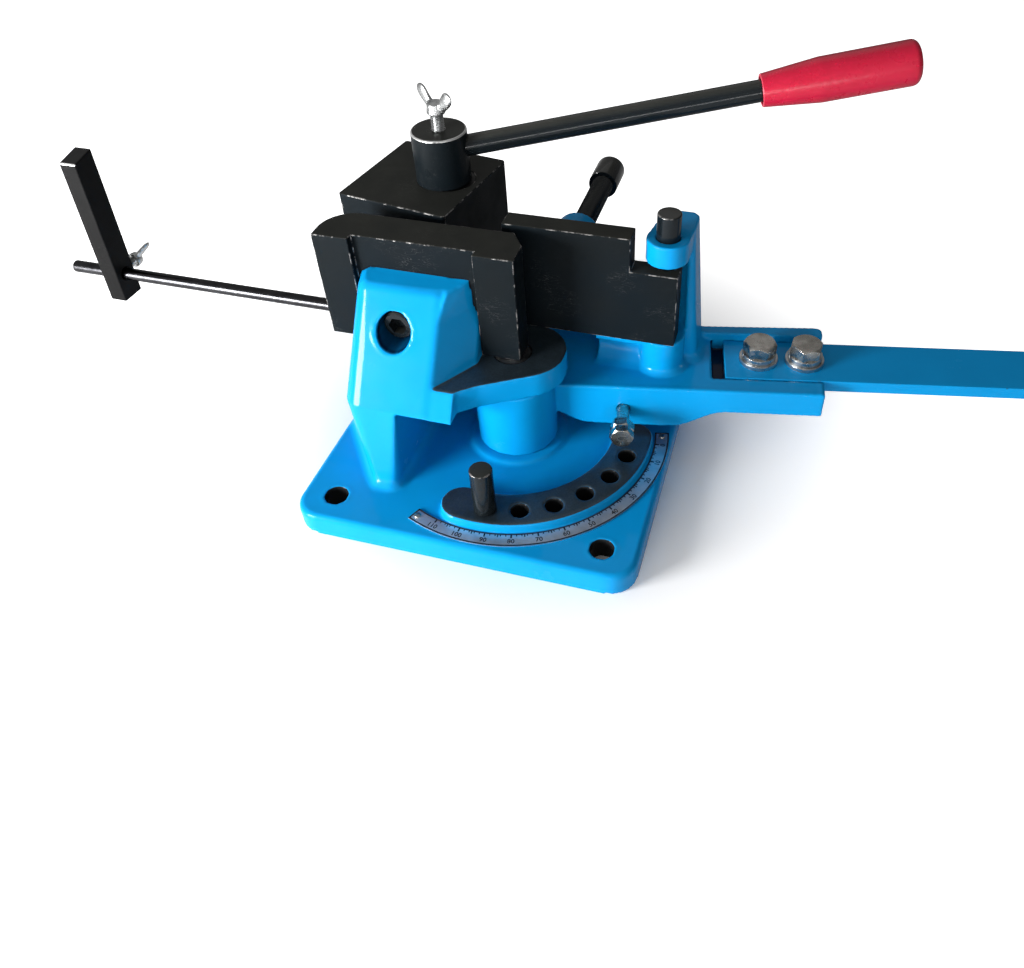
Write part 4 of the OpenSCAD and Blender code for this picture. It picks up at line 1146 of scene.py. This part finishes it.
@dataclass
class BaseFrame:
    """Base casting with the angle scale, the hinge pin and the fixed jaw."""
    axis: Span = HINGE_AXIS
    plate_z: float = 15.0
    pad_radii: Span = (62.0, 87.0)
    scale_radii: Span = (88.0, 97.0)
    scale_top: float = 15.8
    scale_span: Span = (-114.5, 12.0)
    rivet_inset: float = 2.0
    border: float = 1.0
    zero_angle: float = 5.0
    figure_step: int = 10
    figure_count: int = 12
    figure_h: float = 3.1
    ink: float = 0.05
    head_span: Span = (-90.0, -9.0)
    head_low: float = 100.0
    head_top: Span = (-7.0, 130.0)
    head_break: Span = (-20.3, 127.2)
    head_crease: Span = (-30.5, 110.0)
    ridge_x: float = -28.5
    break_x: float = -24.5
    corner_x: float = -14.4
    key_x: float = -12.2

    def head_corner(self) -> list[Place]:
        """Returns the corners of the head's upper right end, in millimetres."""
        back, top = self.head_top
        front, crease = self.head_crease
        inner = self.ridge_x - 2
        outer = [(self.ridge_x, front, crease), (self.break_x, *self.head_break), (self.corner_x, back, top)]
        foot = [(self.key_x, back, self.head_low), (inner, back, self.head_low)]
        return outer + foot + [(inner, back, top), (inner, front + 2, self.head_low)]

    def flat_top(self, points: np.ndarray) -> np.ndarray:
        """Lowers the head's points onto the plane from its back top edge to its front one.

        Args:
            points: places in millimetres.
        Returns:
            The places, of which those over the plane are now on it.
        """
        slope = (self.head_top[1] - self.head_break[1]) / (self.head_top[0] - self.head_break[0])
        level = self.head_top[1] + slope * (points[:, 1] - self.head_top[0])
        inside = (points[:, 0] > self.head_span[0]) & (points[:, 0] < self.head_span[1])
        inside &= (points[:, 2] > self.head_low) & (points[:, 1] < self.head_top[0] + 0.5)
        lowered = points.copy()
        lowered[:, 2] = np.where(inside, np.minimum(points[:, 2], level), points[:, 2])
        return lowered

    def hold(self, points: np.ndarray) -> np.ndarray:
        """Share of softening at points of the casting: none under the scale and on the underside.

        Args:
            points: places in millimetres.
        Returns:
            The shares.
        """
        radius = np.hypot(points[:, 0] - self.axis[0], points[:, 1] - self.axis[1])
        height = points[:, 2]
        share = np.ones(len(points))
        beside_pad = (radius > self.pad_radii[1] - 0.6) & (radius < self.scale_radii[1] + 2)
        share[beside_pad & (height < self.plate_z + 2) & (height > self.plate_z - 3)] = 0.0
        pad = (radius > self.pad_radii[0] - 2) & (radius < self.pad_radii[1] + 1)
        share[pad & (height > self.plate_z + 3) & (height < self.plate_z + 9)] = 0.3
        share[height < 0.5] = 0.0
        return share

    def scale_marks(self) -> Shell:
        """Borders, degree ticks and figures of the scale.

        Returns:
            One shell just above the scale's face.
        """
        low, high = self.scale_radii
        level = (self.scale_top - 0.02, self.scale_top + self.ink)
        ends = np.array([self.scale_span[0]]), np.array([self.scale_span[1]])
        inner = arc_bars((low, low + self.border), level, *ends, 140)
        outer = arc_bars((high - self.border, high), level, *ends, 140)
        edge = math.degrees(self.border / high)
        starts = np.array([self.scale_span[0], self.scale_span[1] - edge])
        sides = arc_bars((low, high), level, starts, starts + edge, 1)
        last = self.figure_step * (self.figure_count - 1)
        rows = [(2.0, 1.0, 0.2), (self.figure_step / 2, 1.6, 0.24), (float(self.figure_step), 2.2, 0.3)]
        foot = low + self.border
        ticks = []
        for step, long, half in rows:
            at = self.zero_angle - np.arange(0, last + 1, step)
            ticks.append(arc_bars((foot - 0.1, foot + long), level, at - half, at + half, 1))
        out = shift(low + 0.62 * (high - low), 0, self.scale_top + self.ink / 2)
        labels = [figures(str(degrees), self.figure_h, self.ink).placed(
            turn("Z", self.zero_angle - degrees), out, turn("Z", 90))
            for degrees in range(0, last + 1, self.figure_step)]
        return joined(inner, outer, sides, *ticks, *labels).placed(shift(*self.axis, 0))

    def rivets(self) -> Shell:
        """Round rivet heads at both ends of the scale.

        Returns:
            One shell with both rivets.
        """
        shank = [(0, -4.0, 0), (1.2, -4.0, 0), (1.2, 0, 0)]
        head = lathe(shank + [(2.3, 0, 0.2), (1.9, 0.85, 0.7), (0, 0.95, 0)], 32)
        out = shift(sum(self.scale_radii) / 2, 0, 0)
        angles = (self.scale_span[0] + self.rivet_inset, self.scale_span[1] - self.rivet_inset)
        return joined(*[head.placed(shift(*self.axis, self.scale_top), turn("Z", a), out) for a in angles])

    def build(self) -> None:
        """Makes and dresses the pieces."""
        cast = cast_copy("base_casting", 1.0, 30, self.hold, self.head_corner(), self.flat_top)
        piece("base_cast", cast, AZURE_BASE, Body.FRAME, "base_casting")
        dress("angle_scale", ALUMINIUM)
        dress("pivot_pin", STEEL)
        shell_piece("scale_marks", self.scale_marks(), SCALE_INK, Body.FRAME)
        shell_piece("rivet_heads", self.rivets(), ZINC, Body.FRAME, "scale_rivets")
        piece("jaw", softened("fixed_jaw", 0.6, clamp=False), OXIDE, Body.FRAME, "fixed_jaw")
        piece("socket_screw", softened("jaw_screw", 0.4), OXIDE_ROUND, Body.FRAME, "jaw_screw")


@dataclass
class CamClamp:
    """Clamp block, cam shaft, hub with its wing bolt, lever and grip."""
    axis: Span = (-56.6, 68.0)
    hub_low: float = 150.4
    hub_top: float = 182.4
    hub_r: float = 17.0
    lever_z: float = 168.8
    lever_rise: float = 9.4
    lever_turn: float = 16.4
    lever_from: float = 10.6
    lever_len: float = 283.5
    lever_r: float = 6.5
    grip_len: float = 90.0
    grip_wall: float = 8.0
    bolt_r: float = 4.0
    bolt_low: float = 155.4
    bolt_pitch: float = 1.25
    collar_z: float = 192.4
    wing_turn: float = -28.0
    wing_span: float = 28.0
    wing_h: float = 15.0

    def on_lever(self) -> Matrix:
        """Returns the move from the Z axis to the lever's line."""
        tilt = turn("Y", 90 - self.lever_rise)
        return combined(shift(*self.axis, self.lever_z), turn("Z", self.lever_turn), tilt)

    def hub(self) -> Shell:
        """Hub: a turned cylinder with a worn rim and the wing bolt's bore.

        Returns:
            The shell.
        """
        bore = self.bolt_r + 0.15
        floor = self.bolt_low - 0.5
        return lathe([(0, self.hub_low, 0), (self.hub_r, self.hub_low, 0), (self.hub_r, self.hub_top, 1.2),
                      (bore, self.hub_top, 0.3), (bore, floor, 0), (0, floor, 0)], 96)

    def grip(self) -> Shell:
        """Grip: a rounded profile turned about the lever, open at its mouth.

        Returns:
            The shell.
        """
        end = self.grip_len
        floor = end - self.grip_wall
        mouth = [(6.55, floor, 0), (6.55, 3.0, 0.4), (7.7, 3.0, 0.3), (8.0, 0, 0.4), (9.5, 0, 0.7)]
        skin = [(12.9, 34.0, 26.0), (13.0, end, 4.5), (0, end, 0)]
        return lathe([(0, floor, 0)] + mouth + skin, 72, 8)

    def build(self) -> None:
        """Makes and dresses the pieces."""
        middle = shift(*self.axis, 0)
        dress("cam_shaft", OILED)
        piece("block", softened("clamp_block", 0.7), OXIDE, Body.BLOCK, "clamp_block")
        shell_piece("hub", self.hub().placed(middle), OXIDE_WORN, Body.CAM_LEVER, "lever_hub")
        rod = round_bar(self.lever_r, (self.lever_from, self.lever_len - self.grip_wall), (0, 1.0), 48)
        shell_piece("lever_rod", rod.placed(self.on_lever()), OXIDE_ROUND, Body.CAM_LEVER, "clamp_lever")
        grip = self.grip().placed(self.on_lever(), shift(0, 0, self.lever_len - self.grip_len))
        shell_piece("grip", grip, CRIMSON, Body.CAM_LEVER, "lever_grip", flat_faces=False)
        head = wing_head(self.bolt_r * 1.45, self.wing_span, self.wing_h, 7.0)
        head = head.placed(middle, shift(0, 0, self.collar_z), turn("Z", self.wing_turn))
        thread = threaded_rod(self.bolt_r, self.bolt_pitch, self.collar_z - self.bolt_low + 2, 0.7)
        thread = thread.placed(middle, shift(0, 0, self.bolt_low))
        wing_screw("hub_wings", head, "hub_bolt_thread", thread, Body.HUB_BOLT, "hub_wing_bolt")


@dataclass
class LengthStop:
    """Stop rod with its finger and wing screw."""
    rod_span: Span = (-304.0, -84.0)
    rod_y: float = 2.75
    rod_z: float = 89.0
    rod_r: float = 4.0
    finger_x: float = -271.0
    finger_w: float = 14.0
    finger_top: float = 80.4
    finger_grown: Place = (0.35, 1.3, 3.0)
    lean: float = -2.5
    screw_r: float = 3.0
    screw_pitch: float = 1.0
    stand: float = 8.0
    wing_span: float = 22.0
    wing_h: float = 13.0
    wing_turn: float = -50.0

    def on_finger(self) -> Matrix:
        """Returns the move from the origin to the finger's own frame, whose X axis is the rod."""
        return combined(shift(self.finger_x, self.rod_y, self.rod_z), turn("X", self.lean))

    def finger(self) -> Mesh:
        """Finger: the CAD's, drawn a little stouter round its bores, with only its top front edge worn.

        Returns:
            The mesh.
        """
        mesh = softened("stop_finger", 0.9, clamp=False)
        back = self.on_finger().inverted()
        own = moved(places(mesh.vertices), back)
        beyond = self.rod_r + 1.5
        outward = np.sign(own) * self.finger_grown
        outward[:, 1] *= np.abs(own[:, 1]) > beyond
        outward[:, 2] *= own[:, 2] < -beyond
        middles = moved(places(mesh.polygons, "center"), back)
        place_points(mesh, moved(own + outward, self.on_finger()) * MM)
        top_front = (middles[:, 2] > self.finger_top - 2) & (middles[:, 1] < -self.rod_r)
        mark_edges(mesh, read(mesh.attributes[EDGE].data, "value", 1).ravel() * top_front)
        return mesh

    def build(self) -> None:
        """Makes and dresses the pieces."""
        rod = round_bar(self.rod_r, (0, self.rod_span[1] - self.rod_span[0]), (0.8, 0.4), 40)
        rod = rod.placed(shift(self.rod_span[0], self.rod_y, self.rod_z), turn("Y", 90))
        shell_piece("rod", rod, DRAWN, Body.ROD, "stop_rod")
        piece("finger", self.finger(), OXIDE_PLAIN, Body.FINGER, "stop_finger")
        place = combined(self.on_finger(), turn("X", -90))
        collar = self.finger_w / 2 + self.stand
        start = self.rod_r + 0.2
        head = wing_head(self.screw_r * 1.7, self.wing_span, self.wing_h, 6.0)
        head = head.placed(place, shift(0, 0, collar), turn("Z", self.wing_turn))
        thread = threaded_rod(self.screw_r, self.screw_pitch, collar - start + 2, 0.55)
        thread = thread.placed(place, shift(0, 0, start))
        wing_screw("finger_wings", head, "finger_screw_thread", thread, Body.FINGER_SCREW,
                   "finger_wing_screw")


@dataclass
class AngleStop:
    """Stop pin in the first hole of the quadrant."""
    axis: Span = HINGE_AXIS
    ring_r: float = 75.5
    direction: float = -87.0
    shank_r: float = 5.15
    head_r: float = 6.75
    low_z: float = 2.0
    pad_z: float = 22.3
    top_z: float = 55.0

    def build(self) -> None:
        """Makes and dresses the pin."""
        pin = lathe([(0, self.low_z, 0), (self.shank_r, self.low_z, 0.8), (self.shank_r, self.pad_z, 0),
                     (self.head_r, self.pad_z, 0.4), (self.head_r, self.top_z, 0.9), (0, self.top_z, 0)], 56)
        pin = pin.placed(shift(*self.axis, 0), turn("Z", self.direction), shift(self.ring_r, 0, 0))
        shell_piece("stop_pin", pin, OXIDE_ROUND, Body.ANGLE_PIN, "angle_stop_pin")


@dataclass
class SwingArm:
    """Arm casting with its handle, former, pins and screws."""
    pin_at: Span = (91.0, 36.7)
    pin_r: float = 7.0
    pin_span: Span = (48.4, 163.0)
    adjuster_at: Place = (28.0, 37.4, 120.0)
    adjuster_len: float = 98.1
    adjuster_r: float = 7.0
    adjuster_pitch: float = 2.0
    adjuster_head_r: float = 9.75
    adjuster_head_h: float = 24.0
    bar_gap: float = 0.3

    def slimmed(self, points: np.ndarray) -> np.ndarray:
        """Draws the handle's long sides in a little, so that a fine gap shows in the pocket.

        Args:
            points: places in millimetres.
        Returns:
            The places, moved across the bar towards its middle line.
        """
        angle = math.radians(ARM_DIRECTION)
        across = np.array([-math.sin(angle), math.cos(angle), 0])
        side = points @ across
        middle = (side.max() + side.min()) / 2
        return points - np.outer((side - middle) / (side.max() - middle) * self.bar_gap, across)

    def adjuster(self) -> Shell:
        """Adjusting screw: a thread and a hollow round head behind it.

        Returns:
            Overlapping closed shells.
        """
        high = self.adjuster_head_h
        thread = threaded_rod(self.adjuster_r, self.adjuster_pitch, self.adjuster_len + 2, 1.0, 40)
        head = lathe([(0, 0, 0), (self.adjuster_head_r, 0, 0.6), (self.adjuster_head_r, high, 1.2),
                      (6.2, high, 0.4), (6.0, high / 2, 0), (0, high / 2, 0)])
        whole = joined(thread, head.placed(shift(0, 0, self.adjuster_len)))
        return whole.placed(shift(*self.adjuster_at), turn("X", -90))

    def build(self) -> None:
        """Makes and dresses the pieces."""
        piece("arm_cast", cast_copy("swing_arm", 0.8, 34), AZURE_ARM, Body.ARM, "swing_arm")
        bar = softened("handle_bar", 0.8)
        place_points(bar, self.slimmed(places(bar.vertices)) * MM)
        piece("handle", bar, AZURE, Body.ARM, "handle_bar")
        piece("washers", softened("handle_washers", 0.35), WHITE_ZINC, Body.ARM, "handle_washers")
        piece("bolts", softened("handle_bolts", 0.3), ZINC, Body.ARM, "handle_bolts")
        piece("former_plate", softened("bend_former", 0.7), OXIDE, Body.FORMER, "bend_former")
        pin = round_bar(self.pin_r, self.pin_span, (0.6, 0.9), 56).placed(shift(*self.pin_at, 0))
        shell_piece("former_hinge_pin", pin, OXIDE_ROUND, Body.HINGE_PIN, "former_pin")
        shell_piece("adjuster", self.adjuster(), OXIDE_ROUND, Body.ADJUSTER, "adjusting_screw",
                    flat_faces=False)
        piece("stop_bolt_head", softened("arm_stop_bolt", 0.3), ZINC, Body.STOP_BOLT, "arm_stop_bolt")
        piece("lock_nut_hex", softened("stop_lock_nut", 0.3), ZINC, Body.LOCK_NUT, "stop_lock_nut")


@dataclass
class Studio:
    """Camera at the photograph's angle, pale floor and soft lights."""
    focal: float = 909.53
    image: tuple[int, int] = (1024, 968)
    centre: Span = (570.80, 405.20)
    eye: Place = (162.777, -405.671, 422.311)
    azimuth: float = 16.6638
    elevation: float = 42.0256
    roll: float = -1.7213
    sensor: float = 36.0
    floor_half: float = 4000.0
    floor_z: float = -0.2
    glow_from: Span = (0.11, 0.30)
    window: Place = (-0.6, -0.8, 0.0)
    room: Span = (0.12, 0.46)

    def camera(self) -> None:
        """Makes the camera from its angles: right, up and back as the columns of its turn."""
        az, el, roll = (math.radians(a) for a in (self.azimuth, self.elevation, self.roll))
        ahead = Vector((-math.sin(az) * math.cos(el), math.cos(az) * math.cos(el), -math.sin(el)))
        level = Vector((math.cos(az), math.sin(az), 0))
        up = level.cross(ahead)
        right = math.cos(roll) * level + math.sin(roll) * up
        up = math.cos(roll) * up - math.sin(roll) * level
        data = bpy.data.cameras.new("photo_camera")
        data.sensor_width = self.sensor
        data.lens = self.focal * self.sensor / self.image[0]
        data.shift_x = (self.image[0] / 2 - self.centre[0]) / self.image[0]
        data.shift_y = (self.centre[1] - self.image[1] / 2) / self.image[0]
        data.clip_start = 0.01
        camera = linked("photo_camera", data)
        basis = Matrix((right, up, -ahead)).transposed().to_4x4()
        camera.matrix_world = Matrix.Translation(Vector(self.eye) * MM) @ basis
        bpy.context.scene.camera = camera

    def lamp(self, name: str, place: Place, aim: Place, size: float, power: float,
             height: Optional[float] = None) -> None:
        """Hangs a soft light, square or as a level strip.

        Args:
            name: name of the light.
            place: its middle, in metres.
            aim: point that it faces.
            size: length of its side.
            power: its power in watts.
            height: height of a strip.
        """
        data = bpy.data.lights.new(name, "AREA")
        data.size = size
        data.energy = power
        if height:
            data.shape = "RECTANGLE"
            data.size_y = height
        light = linked(name, data)
        light.location = place
        light.rotation_euler = (Vector(aim) - Vector(place)).to_track_quat("-Z", "Y").to_euler()

    def floor(self) -> None:
        """Lays the pale floor, which the camera sees grow white away from the object."""
        side = np.linspace(-self.floor_half, self.floor_half, 3)
        x, y = np.meshgrid(side, side)
        points = np.stack([x, y, np.full_like(x, self.floor_z)], axis=-1).reshape(-1, 3)
        mesh = bpy.data.meshes.new("floor")
        mesh.from_pydata((points * MM).tolist(), [], grid_faces(3, 3, False).tolist())
        material, sheet, shader = blank_material("pale_floor")
        far = sheet.vector("LENGTH", sheet.place()).outputs["Value"]
        seen = sheet.add("LightPath").outputs["Is Camera Ray"]
        glow = sheet.math("MULTIPLY", seen, sheet.between(far, *self.glow_from))
        sheet.feed(shader, {"Base Color": (0.94, 0.94, 0.94), "Roughness": 0.8,
                            "Emission Color": (1.0, 1.0, 1.0), "Emission Strength": glow})
        mesh.materials.append(material)
        floor = linked("floor", mesh)

    def build(self) -> None:
        """Sets up camera, floor, lights and surroundings."""
        self.camera()
        self.floor()
        self.lamp("key", (-0.62, -0.68, 0.23), (0.0, 0.0, 0.06), 0.34, 18.5)
        self.lamp("glint", (0.3, -1.2, 0.22), (0.05, 0.0, 0.12), 1.2, 4.0, 0.05)
        self.lamp("fill", (0.9, -0.9, 0.8), (0.05, 0.0, 0.06), 1.0, 0.5)
        self.lamp("back", (-0.3, 1.2, 1.3), (0.0, 0.0, 0.1), 1.2, 1.2)
        world = bpy.data.worlds.new("soft_room")
        world.use_nodes = True
        sheet = Sheet(world.node_tree)
        direction = sheet.add("TexCoord").outputs["Generated"]
        towards = sheet.vector("DOT_PRODUCT", direction, self.window).outputs["Value"]
        sheet.feed(world.node_tree.nodes["Background"],
                   {"Color": (1.0, 1.0, 1.0), "Strength": sheet.between(towards, -0.8, 0.9, *self.room)})
        bpy.context.scene.world = world
        bpy.context.scene.view_settings.view_transform = "Standard"
        LOG.info("studio set")


def main() -> None:
    """Builds the studio and every sub-assembly."""
    logging.basicConfig(level=logging.INFO, format="%(name)s: %(message)s")
    Studio().build()
    for assembly in (BaseFrame(), CamClamp(), LengthStop(), AngleStop(), SwingArm()):
        assembly.build()


if __name__ == "__main__":
    main()
